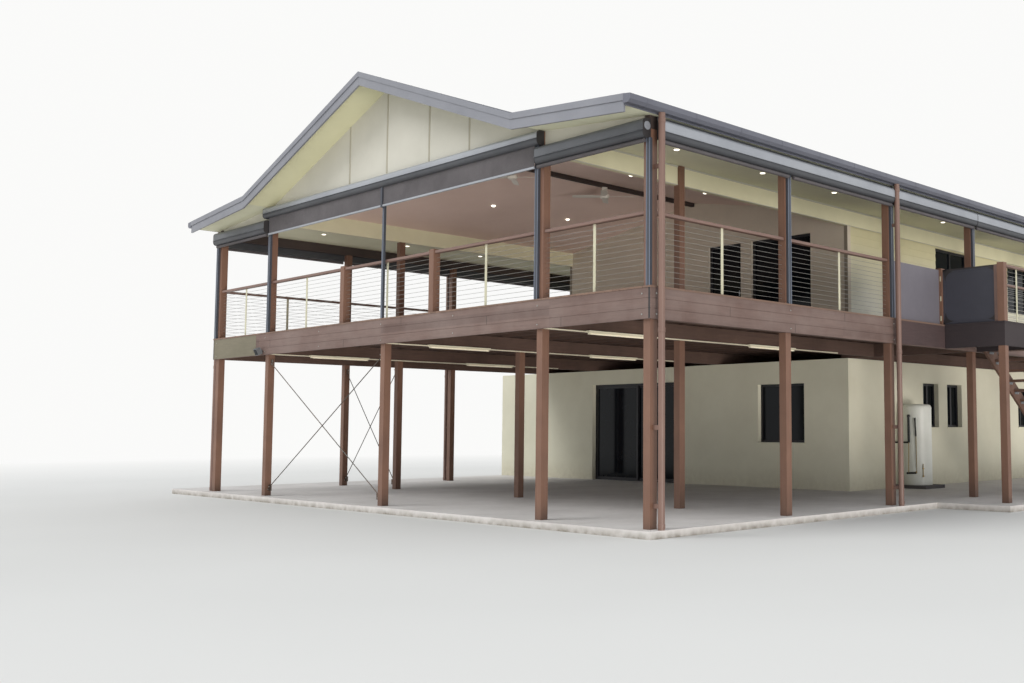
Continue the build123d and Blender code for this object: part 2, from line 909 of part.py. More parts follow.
def mesh_blind(x0, x1, y):
    """Mesh let down to its bottom bar."""
    top = main_box_base()
    base = top - mesh_drop
    cloth = block(x0, x1, y - mesh_t / 2, y + mesh_t / 2, base + bar_d, top)
    return cloth + block(x0, x1, y - bar_d / 2, y + bar_d / 2, base, base + bar_d)


def blind_screens():
    """Two mesh blinds let down a little over the middle bays, and the rolled blinds elsewhere."""
    y = front_y - half_post - box_out / 2
    half = roll_w / 2
    inner = mid_guide_w / 2 + blind_gap
    pieces = both_sides([mesh_blind(inner, half_span - half_post, y)])
    z = side_box_base()
    x0 = half_span + 2 * blind_gap
    x1 = outer_x + outer_guide_out - guide_w / 2 - blind_gap
    pieces += both_sides([block(x0, x1, y - half, y + half, z - roll_drop, z)])
    x = outer_x + half_post + box_out / 2
    reach = box_end + blind_gap
    for a, b in zip(rows[:open_bays + 1], rows[1:]):
        pieces += both_sides([block(x - half, x + half, a + reach, b - reach, z - roll_drop, z)])
    return pieces


def blind_guides():
    """Upright channels on the posts' outer faces that the blinds run in, and one between two blinds."""
    y1 = front_y - half_post
    y0 = y1 - guide_t
    half = guide_w / 2
    middle = mid_guide_w / 2
    inner, outer = half_span - inner_guide_in, outer_x + outer_guide_out
    sides = [block(inner - half, inner + half, y0, y1, deck_z, main_box_base()),
             block(outer - half, outer + half, y0, y1, deck_z, side_box_base())]
    x0, x1 = outer_x + half_post, outer_x + half_post + guide_t
    sides += [block(x0, x1, rows[i] - half, rows[i] + half, deck_z, side_box_base()) for i in flank_rows]
    return [block(-middle, middle, y0, y1, deck_z, main_box_base())] + both_sides(sides)


# Doors and windows

def frame_y(x0, x1, z0, z1, y, bars=1):
    """Window frame in a wall that faces Y, with upright bars."""
    frame = block(x0, x1, y, y + frame_d, z0, z1)
    width = (x1 - x0 - frame_w) / (bars + 1)
    for i in range(bars + 1):
        a = x0 + frame_w + width * i
        frame -= block(a, a + width - frame_w, y - 1, y + frame_d + 1, z0 + frame_w, z1 - frame_w)
    return frame


def frame_x(y0, y1, z0, z1, x, bars=1):
    """Window frame in a wall that faces X, with upright bars."""
    frame = block(x, x + frame_d, y0, y1, z0, z1)
    width = (y1 - y0 - frame_w) / (bars + 1)
    for i in range(bars + 1):
        a = y0 + frame_w + width * i
        frame -= block(x - 1, x + frame_d + 1, a, a + width - frame_w, z0 + frame_w, z1 - frame_w)
    return frame


def lights_y(x0, x1, z0, z1, y, bars=1):
    """Glass of such a frame, one pane for each light."""
    width = (x1 - x0 - frame_w) / (bars + 1)
    mid = y + frame_d / 2
    panes = []
    for i in range(bars + 1):
        a = x0 + frame_w + width * i
        panes.append(block(a, a + width - frame_w, mid - glass_t / 2, mid + glass_t / 2, z0 + frame_w, z1 - frame_w))
    return panes


def lights_x(y0, y1, z0, z1, x, bars=1):
    width = (y1 - y0 - frame_w) / (bars + 1)
    mid = x + frame_d / 2
    panes = []
    for i in range(bars + 1):
        a = y0 + frame_w + width * i
        panes.append(block(mid - glass_t / 2, mid + glass_t / 2, a, a + width - frame_w, z0 + frame_w, z1 - frame_w))
    return panes


def windows():
    """Every window and fixed door: facing direction, its sizes, place in the wall and bars."""
    found = []
    low, high = floor_z + lower_window_z[0], floor_z + lower_window_z[1]
    found.append(("y", *lower_window_x, low, high, room_y + reveal, 1))
    for y in narrow_ys:
        z0, z1 = floor_z + narrow_z[0], floor_z + narrow_z[1]
        found.append(("x", y, y + narrow_w, z0, z1, wall_x - reveal - frame_d, 1))
        found.append(("x", y, y + narrow_w, z0, z1, wall_left_x + reveal, 1))
    half = rear_window_w / 2
    for x in rear_windows:
        found.append(("y", x - half, x + half, low, high, wall_end_y - reveal - frame_d, 1))
    back = upper_y + upper_wall_t - frame_d
    head = deck_z + upper_door_head
    for x0, x1 in upper_door_xs:
        found.append(("y", x0, x1, deck_z, head, back, int(x1 - x0 >= double_w)))
    for x in (core_x - upper_wall_t, -core_x + upper_wall_t - frame_d):
        found.append(("x", *upper_side_door_y, deck_z, head, x, 1))
        found.append(("x", *upper_side_window_y, *upper_window_levels(), x, 1))
    for x in rear_windows:
        found.append(("y", x - half, x + half, *upper_window_levels(), wall_end_y - upper_wall_t, 1))
    return found


def window_frames():
    make = {"x": frame_x, "y": frame_y}
    return [make[kind](*sizes) for kind, *sizes in windows()]


def window_glass():
    make = {"x": lights_x, "y": lights_y}
    return [pane for kind, *sizes in windows() for pane in make[kind](*sizes)]


def door_leaf(x0, x1, y, z0, z1):
    """Glazed leaf: frame and glass in one piece."""
    rim = block(x0, x1, y, y + joist_w - leaf_gap, z0, z1)
    inset = frame_w
    rim -= block(x0 + inset, x1 - inset, y - 1, y + joist_w, z0 + inset, z1 - inset)
    mid = y + (joist_w - leaf_gap) / 2
    glass = block(x0 + inset, x1 - inset, mid - glass_t / 2, mid + glass_t / 2, z0 + inset, z1 - inset)
    return rim + glass


def runners(x0, x1, y, top):
    """Two small wheel housings under the sliding leaf, down to the sill."""
    depth = joist_w - leaf_gap
    places = (x0 + runner_in, x1 - runner_in - runner_w)
    return [block(x, x + runner_w, y + depth / 4, y + depth * 3 / 4, top - leaf_gap + seat_gap, top)
            for x in places]


def sliding_door():
    """Outer frame with a fixed leaf on the left, and the leaf that slides behind it."""
    x0, x1 = door_x
    z0, z1 = floor_z, floor_z + door_head
    y = room_y + reveal
    depth = 2 * joist_w
    outer = block(x0, x1, y, y + depth, z0, z1)
    outer -= block(x0 + frame_w, x1 - frame_w, y - 1, y + depth + 1, z0 + rail_d / 2, z1 - frame_w)
    middle = (x0 + x1) / 2
    lap_x = frame_w / 2
    fixed = door_leaf(x0 + frame_w, middle + lap_x, y, z0 + rail_d / 2, z1 - frame_w)
    a, b = middle - lap_x, x1 - frame_w - leaf_gap
    leaf_base = z0 + rail_d / 2 + leaf_gap
    leaf = door_leaf(a, b, y + joist_w, leaf_base, z1 - frame_w - leaf_gap)
    for runner in runners(a, b, y + joist_w, leaf_base):
        leaf += runner
    return [outer + fixed], [leaf]


# Fans and services

def fan_mount(y):
    """Canopy and rod under the ridge beam, down to the motor."""
    top = ridge_beam_base()
    canopy = Pos(0, y, top - canopy_h / 2) * Cylinder(canopy_r, canopy_h)
    rod = Pos(0, y, top - fan_drop / 2) * Cylinder(rod_r, fan_drop)
    cup = Pos(0, y, top - fan_drop + cup_h / 2) * Cylinder(cup_r, cup_h)
    return canopy + rod + cup


def fan_rotor(y):
    """Hub with four twisted blades, and the short shaft it hangs by."""
    seat = ridge_beam_base() - fan_drop
    top = seat - fan_gap
    hub = Pos(0, y, top - hub_h / 2) * Cylinder(hub_r, hub_h)
    hub = fillet(hub.edges().filter_by(GeomType.CIRCLE).sort_by(Axis.Z)[:1], hub_round)
    hub += Pos(0, y, (top + seat - seat_gap) / 2) * Cylinder(rod_r, fan_gap - seat_gap)
    blade = Pos((blade_root + fan_r) / 2, 0, 0) * Rot(blade_twist, 0, 0) * Box(fan_r - blade_root, blade_w, blade_t)
    for i in range(fan_blades):
        hub += Pos(0, y, top - hub_h / 2) * Rot(0, 0, blade_start + 360 / fan_blades * i) * blade
    return hub


def batten_lights():
    """Battens with a tube below, each on the side of a bearer."""
    pieces = []
    for line in (-half_span, 0, half_span):
        x = line + bearer_w / 2 + light_w / 2
        for start in light_starts:
            y0 = front_y + start
            y1 = y0 + light_l
            base = block(x - light_w / 2, x + light_w / 2, y0, y1, bearer_base, bearer_base + light_d / 2)
            tube = block(x - light_w / 4, x + light_w / 4, y0 + light_end, y1 - light_end,
                         bearer_base - light_d / 2, bearer_base)
            pieces.append(base + tube)
    return pieces


def floodlight():
    """Small lamp head on the front fascia beside the inner post."""
    x = -half_span - half_post - lamp_off
    y = front_y - fascia_out
    z = bearer_base + bearer_d / 3
    half = lamp_stem / 2
    stem = block(x - half, x + half, y - lamp_arm, y, z - half, z + half)
    head = Pos(x, y - lamp_arm - lamp_head[1] / 2, z - lamp_drop) * Rot(lamp_tilt, 0, 0) * Box(*lamp_head)
    return [stem + head]


def hot_water_unit():
    """Upright storage tank with a domed top on a square plinth."""
    x = wall_x + tank_gap + tank_r
    plinth = block(x - tank_r - tank_gap, x - tank_r - tank_gap + plinth_side, tank_y - plinth_side / 2,
                   tank_y + plinth_side / 2, floor_z, floor_z + plinth_h)
    tank = Pos(x, tank_y, floor_z + plinth_h + tank_h / 2) * Cylinder(tank_r, tank_h)
    tank = fillet(tank.edges().filter_by(GeomType.CIRCLE).sort_by(Axis.Z)[-1:], tank_round)
    return [plinth], [tank]


def main():
    os.makedirs("parts", exist_ok=True)
    save("floor_slab", floor_slab())
    save("lower_posts", lower_posts())
    save("brace_rods", brace_rods())
    save("deck_bearers", deck_bearers())
    save("deck_joists", deck_joists())
    save("deck_floor", deck_floor())
    save("deck_fascia", deck_fascia())
    save("upper_posts", upper_posts())
    save("newel_posts", newel_posts())
    save("front_balustrade", front_balustrade())
    save("side_balustrades", left_balustrade() + right_balustrade())
    save("rear_balustrade", rear_balustrade())
    save("side_screen", side_screen())
    save("landing_screen", landing_screen())
    save("landing", landing())
    save("stair_stringers", stair_stringers())
    save("stair_treads", stair_treads())
    save("stair_balustrade", stair_balustrade())
    left, right, lintel = lower_front_walls()
    save("lower_front_wall_left", [left])
    save("lower_front_wall_right", [right])
    save("lower_door_lintel", [lintel])
    save("lower_side_walls", lower_side_wall(wall_x - lower_wall_t) + lower_side_wall(wall_left_x))
    save("lower_rear_wall", lower_rear_wall())
    save("upper_front_wall", upper_front_wall())
    save("upper_side_walls", upper_side_walls())
    save("upper_rear_wall", upper_rear_wall())
    save("front_gable_wall", front_gable_wall())
    save("eave_beams", eave_beams())
    save("gable_lintels", gable_lintels())
    save("ceiling_bulkheads", ceiling_bulkheads())
    save("ridge_beam", ridge_beam())
    save("room_ceiling", room_ceiling())
    save("veranda_soffits", veranda_soffits())
    save("gable_soffits", gable_soffits())
    save("rafters", rafters())
    save("ridge_board", ridge_board())
    save("roof_sheets_main", roof_sheets_main())
    save("roof_sheets_veranda", roof_sheets_veranda())
    save("ridge_cap", ridge_cap())
    save("barge_boards", barge_boards())
    save("gutters", gutters())
    save("downpipes", downpipes())
    save("blind_boxes", blind_boxes())
    save("blind_screens", blind_screens())
    save("blind_guides", blind_guides())
    save("window_frames", window_frames())
    save("window_glass", window_glass())
    frame, leaf = sliding_door()
    save("sliding_door_frame", frame)
    save("sliding_door_leaf", leaf)
    save("fan_mounts", [fan_mount(y) for y in fan_rows])
    save("front_fan", [fan_rotor(fan_rows[0])])
    save("rear_fan", [fan_rotor(fan_rows[1])])
    save("batten_lights", batten_lights())
    save("floodlight", floodlight())
    plinth, tank = hot_water_unit()
    save("tank_plinth", plinth)
    save("hot_water_tank", tank)


main()
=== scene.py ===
import math
import random

import bmesh
import bpy
from mathutils import Matrix, Vector


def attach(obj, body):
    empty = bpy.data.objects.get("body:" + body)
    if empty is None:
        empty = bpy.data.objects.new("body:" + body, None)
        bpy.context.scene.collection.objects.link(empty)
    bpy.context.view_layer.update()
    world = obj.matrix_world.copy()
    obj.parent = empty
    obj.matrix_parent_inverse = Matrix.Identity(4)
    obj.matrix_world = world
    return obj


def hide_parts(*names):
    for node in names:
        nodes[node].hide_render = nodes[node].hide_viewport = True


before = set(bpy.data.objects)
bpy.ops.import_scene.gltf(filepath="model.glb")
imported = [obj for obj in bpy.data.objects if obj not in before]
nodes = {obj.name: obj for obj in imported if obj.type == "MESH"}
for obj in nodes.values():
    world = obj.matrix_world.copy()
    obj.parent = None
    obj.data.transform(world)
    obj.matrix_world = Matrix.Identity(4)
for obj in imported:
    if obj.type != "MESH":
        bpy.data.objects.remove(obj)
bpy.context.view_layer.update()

# Sizes of the house, in metres, as the frame has them
house = {
    "halfSpan": 4.09,  # ridge line to the inner posts, where the roof's pitch breaks
    "outer": 6.245,  # ridge line to the outer posts
    "coreX": 4.11,  # outside of the upper rooms
    "upperY": -0.9,
    "frontY": -8.571,  # first row of posts
    "bay": 2.857,
    "bays": 6,
    "halfPost": 0.0625,
    "floorZ": 0.1,
    "deckZ": 3.23,
    "fasciaX": 6.3525,  # faces of the boards round the deck
    "fasciaY": 8.6785,
    "breakZ": 5.8185,
    "mainPitch": 20.4,
    "verandaPitch": 5.0,
    "roofDepth": 0.14,
    "ceilingRise": 0.7,
    "bulkhead": 0.09,
    "landingX": 7.45,
    "landingY": -1.095,
}
rows = [house["frontY"] + house["bay"] * i for i in range(house["bays"] + 1)]


def roofTop(x):
    x = abs(x)
    inner = min(x, house["halfSpan"])
    z = house["breakZ"] + (house["halfSpan"] - inner) * math.tan(math.radians(house["mainPitch"]))
    return z - (x - inner) * math.tan(math.radians(house["verandaPitch"]))


def soffitZ(x):
    return roofTop(x) - house["roofDepth"]


def ceilingZ(x):
    # Underside of the raked ceiling of the open room
    share = 1 - abs(x) / (house["coreX"] - house["bulkhead"])
    return soffitZ(house["coreX"]) + house["ceilingRise"] * share


# Node helpers

def fill(tree, made, inputs):
    # Each input takes a link or a plain value
    for key, value in inputs.items():
        if isinstance(value, bpy.types.NodeSocket):
            tree.links.new(value, made.inputs[key])
        else:
            made.inputs[key].default_value = value
    return made


def put(tree, kind, inputs=None, **settings):
    made = tree.nodes.new(kind)
    for key, value in settings.items():
        setattr(made, key, value)
    return fill(tree, made, inputs or {})


def newTree(name, kind, inputs, outputs):
    # A socket is given by its value, or by the name of its kind where it has none
    tree = bpy.data.node_groups.new(name, kind + "NodeTree")
    if kind == "Geometry":
        tree.is_modifier = True
    for way, sockets in (("INPUT", inputs), ("OUTPUT", outputs)):
        for label, value in sockets.items():
            if isinstance(value, str):
                tree.interface.new_socket(label, in_out=way, socket_type="NodeSocket" + value)
                continue
            if isinstance(value, tuple):
                valueKind = "Color" if len(value) == 4 else "Vector"
            else:
                valueKind = "Int" if isinstance(value, int) else "Float"
            socket = tree.interface.new_socket(label, in_out=way, socket_type="NodeSocket" + valueKind)
            socket.default_value = value
    return tree, put(tree, "NodeGroupInput").outputs, put(tree, "NodeGroupOutput").inputs


def maths(tree, operation, *values):
    return put(tree, "ShaderNodeMath", dict(enumerate(values)), operation=operation).outputs[0]


def vectorMaths(tree, operation, *values):
    return put(tree, "ShaderNodeVectorMath", dict(enumerate(values)), operation=operation).outputs


def mixColours(tree, factor, a, b):
    return put(tree, "ShaderNodeMix", {0: factor, 6: a, 7: b}, data_type="RGBA").outputs[2]


def noise(tree, where, **inputs):
    return put(tree, "ShaderNodeTexNoise", {"Vector": where, **inputs}).outputs["Fac"]


def spread(tree, value, low, high, toLow, toHigh):
    return put(tree, "ShaderNodeMapRange", {"Value": value, "From Min": low, "From Max": high,
                                            "To Min": toLow, "To Max": toHigh}).outputs["Result"]


def linear(r, g, b):
    # 0-255 screen colour to the value a shader takes
    def one(v):
        v /= 255
        return v / 12.92 if v <= 0.04045 else ((v + 0.055) / 1.055) ** 2.4
    return (one(r), one(g), one(b), 1.0)


# Effects that several finishes share, each a node group

def newEffect(name, second, sizes, result):
    # Takes a place, two colours and its sizes, and gives the mixed colour and one more value
    inputs = {"Vector": "Vector", "Colour": (1, 1, 1, 1), second: (0, 0, 0, 1), **sizes, "Cover": 0.5}
    return newTree(name, "Shader", inputs, {"Colour": "Color", result: "Float"})


def endEffect(tree, given, out, second, share, result):
    tree.links.new(mixColours(tree, share, given["Colour"], given[second]), out[0])
    tree.links.new(result, out[1])


# Patchy stain: a second colour in soft clouds
stainGroup, given, out = newEffect("stain", "Stain", {"Size": 1.0}, "Mask")
clouds = noise(stainGroup, given["Vector"], Scale=given["Size"], Detail=7.0, Roughness=0.62)
share = maths(stainGroup, "MULTIPLY", spread(stainGroup, clouds, 0.38, 0.72, 0.0, 1.0), given["Cover"])
endEffect(stainGroup, given, out, "Stain", share, share)

# Grain: fine streaks drawn out along the stretched axis
grainGroup, given, out = newEffect("grain", "Streak", {"Stretch": (1, 1, 1)}, "Height")
drawn = vectorMaths(grainGroup, "MULTIPLY", given["Vector"], given["Stretch"])[0]
fibre = noise(grainGroup, drawn, Scale=1.0, Detail=5.0, Roughness=0.7, Distortion=0.3)
lines = spread(grainGroup, fibre, 0.35, 0.68, 0.0, 1.0)
share = maths(grainGroup, "MULTIPLY", lines, given["Cover"])
endEffect(grainGroup, given, out, "Streak", share, lines)

# Boards: each strip of a run takes a tone of its own
toneGroup, given, out = newEffect("boardTone", "Other", {"Pitch": (1, 1, 1)}, "Tone")
steps = vectorMaths(toneGroup, "MULTIPLY", given["Vector"], given["Pitch"])[0]
strip = vectorMaths(toneGroup, "FLOOR", steps)[0]
tone = put(toneGroup, "ShaderNodeTexWhiteNoise", {"Vector": strip}, noise_dimensions="3D").outputs["Value"]
share = maths(toneGroup, "MULTIPLY", tone, given["Cover"])
endEffect(toneGroup, given, out, "Other", share, tone)

# A second colour that gathers towards a level: grime, such as splash marks above the ground, and on the wall
# boards painted light; a larger noise scale makes finer patches
grimeGroup, given, out = newEffect("grime", "Grime", {"Level": 0.1, "Reach": 0.4, "Grit": 9.0}, "Mask")
height = put(grimeGroup, "ShaderNodeSeparateXYZ", {"Vector": given["Vector"]}).outputs["Z"]
above = maths(grimeGroup, "SUBTRACT", height, given["Level"])
near = spread(grimeGroup, maths(grimeGroup, "DIVIDE", above, given["Reach"]), 0.0, 1.0, 1.0, 0.0)
speckle = noise(grimeGroup, given["Vector"], Scale=given["Grit"], Detail=8.0)
share = maths(grimeGroup, "MULTIPLY", maths(grimeGroup, "MULTIPLY", near, speckle), given["Cover"])
endEffect(grimeGroup, given, out, "Grime", share, share)


def useGroup(tree, group, **inputs):
    return put(tree, "ShaderNodeGroup", inputs, node_tree=group).outputs


def newMaterial(name):
    made = bpy.data.materials.new(name)
    made.use_nodes = True
    tree = made.node_tree
    return made, tree, tree.nodes["Principled BSDF"], put(tree, "ShaderNodeTexCoord").outputs["Object"]


def addBump(tree, shader, height, strength, distance):
    bump = put(tree, "ShaderNodeBump", {"Height": height, "Strength": strength, "Distance": distance})
    tree.links.new(bump.outputs["Normal"], shader.inputs["Normal"])


reliefDepth = 0.004
stainRough = 0.15  # how much duller the stained patches are


def makeFinish(name, base, stain, rough, bump=None, metallic=0.0, stainSize=1.2, stainCover=0.6,
               tone=None, grain=None, grime=None, grit=9.0):
    # Colour layers from the base up, roughness that rises with the stain, and fine relief
    made, tree, shader, where = newMaterial(name)
    colour, fibres = linear(*base), None
    if tone:
        other, pitch, cover = tone
        colour = useGroup(tree, toneGroup, Vector=where, Colour=colour, Other=linear(*other), Pitch=pitch,
                          Cover=cover)["Colour"]
    if grain:
        streak, stretch, cover = grain
        layer = useGroup(tree, grainGroup, Vector=where, Colour=colour, Streak=linear(*streak),
                         Stretch=stretch, Cover=cover)
        colour, fibres = layer["Colour"], layer["Height"]
    patches = useGroup(tree, stainGroup, Vector=where, Colour=colour, Stain=linear(*stain),
                       Size=stainSize, Cover=stainCover)
    colour = patches["Colour"]
    if grime:
        dirt, level, reach, cover = grime
        colour = useGroup(tree, grimeGroup, Vector=where, Colour=colour, Grime=linear(*dirt), Level=level,
                          Reach=reach, Cover=cover, Grit=grit)["Colour"]
    fill(tree, shader, {
        "Base Color": colour, "Metallic": metallic,
        "Roughness": spread(tree, patches["Mask"], 0.0, 1.0, rough, min(1.0, rough + stainRough))})
    if bump:
        size, strength = bump
        relief = noise(tree, where, Scale=size, Detail=4.0)
        if fibres:
            relief = maths(tree, "ADD", relief, fibres)
        addBump(tree, shader, relief, strength, reliefDepth)
    return made


def look(base, stain, rough, bump=None, **layers):
    # Colours on the 0-255 scale, bump as (size, strength), tone and grain as (colour, scale on each axis,
    # cover), and the grime layer, which is painted light on the wall boards, as (colour, level, reach, cover)
    return dict(base=base, stain=stain, rough=rough, bump=bump, **layers)


looks = {
    "concrete": look((212, 209, 206), (178, 174, 170), 0.85, (60.0, 0.35), stainSize=0.7,
        grime=((120, 115, 104), 0.0, 0.115, 1.5)),
    "plinth_stone": look((84, 80, 80), (58, 56, 58), 0.9, (50.0, 0.4)),
    "post_paint": look((114, 82, 65), (90, 65, 54), 0.5, (35.0, 0.15),
        grain=((132, 101, 82), (26.0, 26.0, 1.6), 0.35), grime=((84, 66, 56), 0.1, 0.35, 0.8)),
    "rod_steel": look((96, 94, 90), (110, 76, 54), 0.45, (120.0, 0.1), metallic=0.9),
    "underside_timber": look((96, 74, 64), (66, 52, 46), 0.8, (30.0, 0.3),
        grain=((68, 52, 44), (22.0, 2.0, 30.0), 0.5)),
    "joist_timber": look((92, 70, 60), (64, 50, 44), 0.8, (30.0, 0.3),
        grain=((66, 50, 42), (1.6, 30.0, 30.0), 0.5)),
    "deck_boards": look((134, 108, 92), (108, 90, 80), 0.75, (30.0, 0.3),
        tone=((100, 78, 66), (6.916, 0.0, 0.0), 0.7), grain=((100, 80, 68), (26.0, 1.4, 26.0), 0.5)),
    "fascia_boards": look((112, 90, 82), (138, 124, 118), 0.7, (26.0, 0.35), stainSize=0.9, stainCover=0.55,
        tone=((84, 64, 58), (0.23, 0.23, 7.06), 0.85), grain=((82, 64, 58), (2.2, 2.2, 34.0), 0.6)),
    # Painted shade: the landing is coloured dark, for its faces that stand in shade
    "landing_boards": look((50, 41, 43), (40, 34, 38), 0.7, (26.0, 0.3),
        tone=((44, 36, 38), (0.0, 0.0, 7.06), 0.7), grain=((38, 31, 33), (2.2, 2.2, 30.0), 0.5)),
    "end_board": look((118, 112, 94), (96, 92, 76), 0.75, (26.0, 0.3),
        grain=((92, 86, 72), (2.2, 2.2, 34.0), 0.4)),
    # Painted shade: the fascia board behind the side screen, coloured dark where the screen shades it
    "dark_board": look((74, 58, 57), (58, 46, 47), 0.7, (26.0, 0.3),
        grain=((54, 42, 42), (2.2, 2.2, 34.0), 0.5)),
    "stair_timber": look((112, 84, 70), (82, 64, 56), 0.7, (28.0, 0.3),
        grain=((84, 62, 52), (3.0, 18.0, 26.0), 0.5)),
    "handrail": look((122, 97, 87), (101, 80, 72), 0.45, (28.0, 0.2),
        grain=((100, 77, 72), (3.0, 3.0, 40.0), 0.45)),
    "wire_steel": look((168, 168, 164), (128, 126, 120), 0.35, metallic=0.8),
    "stanchion_paint": look((192, 189, 164), (166, 163, 140), 0.5, (60.0, 0.1)),
    "screen_grey": look((106, 103, 110), (94, 91, 98), 0.6, (80.0, 0.1)),
    "screen_dark": look((60, 61, 70), (49, 50, 58), 0.5, (80.0, 0.1)),
    "screen_rim": look((34, 32, 34), (46, 42, 42), 0.55, (60.0, 0.1)),
    "render": look((218, 215, 194), (204, 200, 178), 0.9, (90.0, 0.35), stainSize=0.8,
        grime=((160, 148, 124), 0.1, 0.45, 0.6)),
    # Here the layer is painted light: near white low on the boards and fading upwards, for the sky light that
    # reaches them under the eaves
    "wall_boards": look((206, 200, 163), (194, 188, 152), 0.6, (40.0, 0.12),
        grime=((252, 254, 250), 3.3, 1.8, 2.0), grit=0.35),
    "room_wall": look((206, 196, 180), (190, 180, 164), 0.65, (40.0, 0.12)),
    "corner_trim": look((138, 128, 114), (120, 110, 98), 0.6, (40.0, 0.12)),
    "gable_panel": look((190, 188, 177), (178, 176, 164), 0.7, (50.0, 0.12)),
    "joint_strip": look((164, 160, 144), (144, 140, 126), 0.7, (50.0, 0.1)),
    "beam_paint": look((222, 218, 186), (206, 201, 170), 0.6, (50.0, 0.12)),
    "beam_dark": look((64, 52, 48), (50, 42, 40), 0.7, (26.0, 0.2),
        grain=((48, 38, 36), (26.0, 1.8, 26.0), 0.4)),
    # The warm pink tint is painted light, for warm light thrown back onto the room's ceiling; under it the
    # ceiling is pale paint
    "ceiling_paint": look((242, 219, 208), (232, 208, 197), 0.75, (40.0, 0.08)),
    "soffit_paint": look((214, 214, 188), (198, 198, 172), 0.75, (40.0, 0.08)),
    "gable_soffit": look((206, 204, 170), (194, 192, 158), 0.75, (40.0, 0.08)),
    "frame_timber": look((188, 156, 112), (164, 132, 92), 0.8, (26.0, 0.25),
        grain=((150, 116, 78), (2.0, 24.0, 24.0), 0.5)),
    "roof_steel": look((78, 82, 92), (96, 98, 106), 0.42, (3.0, 0.05), metallic=0.35),
    "trim_steel": look((130, 132, 139), (112, 114, 121), 0.4, (6.0, 0.05), metallic=0.3),
    "gutter_steel": look((106, 108, 118), (88, 90, 100), 0.4, (6.0, 0.05), metallic=0.3),
    "pipe_paint": look((120, 94, 83), (98, 76, 68), 0.4, (40.0, 0.06)),
    # Painted shade: the dark lower part of the headboxes, which faces the ground, and the strips that close
    # them
    "box_dark": look((74, 76, 80), (56, 58, 62), 0.45, (8.0, 0.05), metallic=0.3),
    # Pale steel for bars, brackets and door fittings; on the headboxes it is a painted highlight where the
    # upper faces reflect the sky
    "hood_steel": look((158, 162, 168), (134, 138, 146), 0.35, (8.0, 0.05), metallic=0.4),
    # Painted shade: a darker copy of the pale steel, on the front boxes beside the main one
    "hood_dark": look((104, 107, 112), (84, 87, 92), 0.35, (8.0, 0.05), metallic=0.4),
    "blind_channel": look((74, 78, 86), (58, 62, 68), 0.4, metallic=0.4),
    "channel_lip": look((128, 138, 156), (104, 112, 128), 0.35, metallic=0.4),
    "black_frame": look((34, 34, 38), (48, 48, 50), 0.4, (80.0, 0.05), metallic=0.3),
    "fan_white": look((236, 232, 222), (218, 214, 204), 0.4, (60.0, 0.05)),
    "light_white": look((226, 220, 196), (206, 198, 172), 0.45, (50.0, 0.05)),
    "lamp_case": look((122, 126, 130), (98, 102, 106), 0.4, metallic=0.6),
    "tank_enamel": look((214, 216, 208), (196, 198, 188), 0.35, (30.0, 0.06),
        grime=((150, 142, 122), 0.17, 0.3, 0.5)),
    "lagging": look((26, 28, 30), (40, 42, 44), 0.7, (60.0, 0.2)),
    "brass": look((150, 132, 92), (112, 98, 72), 0.4, metallic=0.9),
}
finishes = {name: makeFinish(name, **values) for name, values in looks.items()}


def glassFinish(name, tint, rough):
    made, tree, shader, where = newMaterial(name)
    smudge = useGroup(tree, stainGroup, Vector=where, Colour=linear(*tint),
                      Stain=linear(*[c + 10 for c in tint]), Size=1.3, Cover=0.6)
    fill(tree, shader, {"Base Color": smudge["Colour"], "Specular IOR Level": 0.15,
                        "Roughness": spread(tree, smudge["Mask"], 0.0, 1.0, rough, rough + 0.06)})
    return made


def clothFinish(name, thread, gap, count):
    # Mesh cloth: a fine weave with the threads a little lighter than the gaps, and darker patches that are
    # painted shade of folds
    made, tree, shader, where = newMaterial(name)
    wave = {"Vector": where, "Scale": count}
    across, along = (put(tree, "ShaderNodeTexWave", wave, bands_direction=way) for way in ("X", "Z"))
    weave = maths(tree, "MAXIMUM", across.outputs["Fac"], along.outputs["Fac"])
    colour = mixColours(tree, weave, linear(*gap), linear(*thread))
    folds = useGroup(tree, stainGroup, Vector=where, Colour=colour, Stain=linear(*[c * 0.8 for c in gap]),
                     Size=1.6, Cover=0.5)
    fill(tree, shader, {"Base Color": folds["Colour"],
                        "Roughness": spread(tree, folds["Mask"], 0.0, 1.0, 0.75, 0.9)})
    addBump(tree, shader, weave, 0.25, 0.001)
    return made


def lampFinish(name, colour, strength):
    made, tree, shader, where = newMaterial(name)
    glow = useGroup(tree, stainGroup, Vector=where, Colour=linear(*colour), Stain=linear(255, 236, 200),
                    Size=30.0, Cover=0.4)["Colour"]
    fill(tree, shader, {"Base Color": glow, "Emission Color": glow, "Emission Strength": strength,
                        "Roughness": 0.4})
    return made


finishes["glass"] = glassFinish("glass", (10, 15, 21), 0.05)
finishes["blind_mesh"] = clothFinish("blind_mesh", (92, 88, 90), (64, 61, 63), 160.0)
finishes["lamp_glow"] = lampFinish("lamp_glow", (255, 248, 232), 2.2)
finishes["tube_glow"] = lampFinish("tube_glow", (232, 226, 204), 0.15)

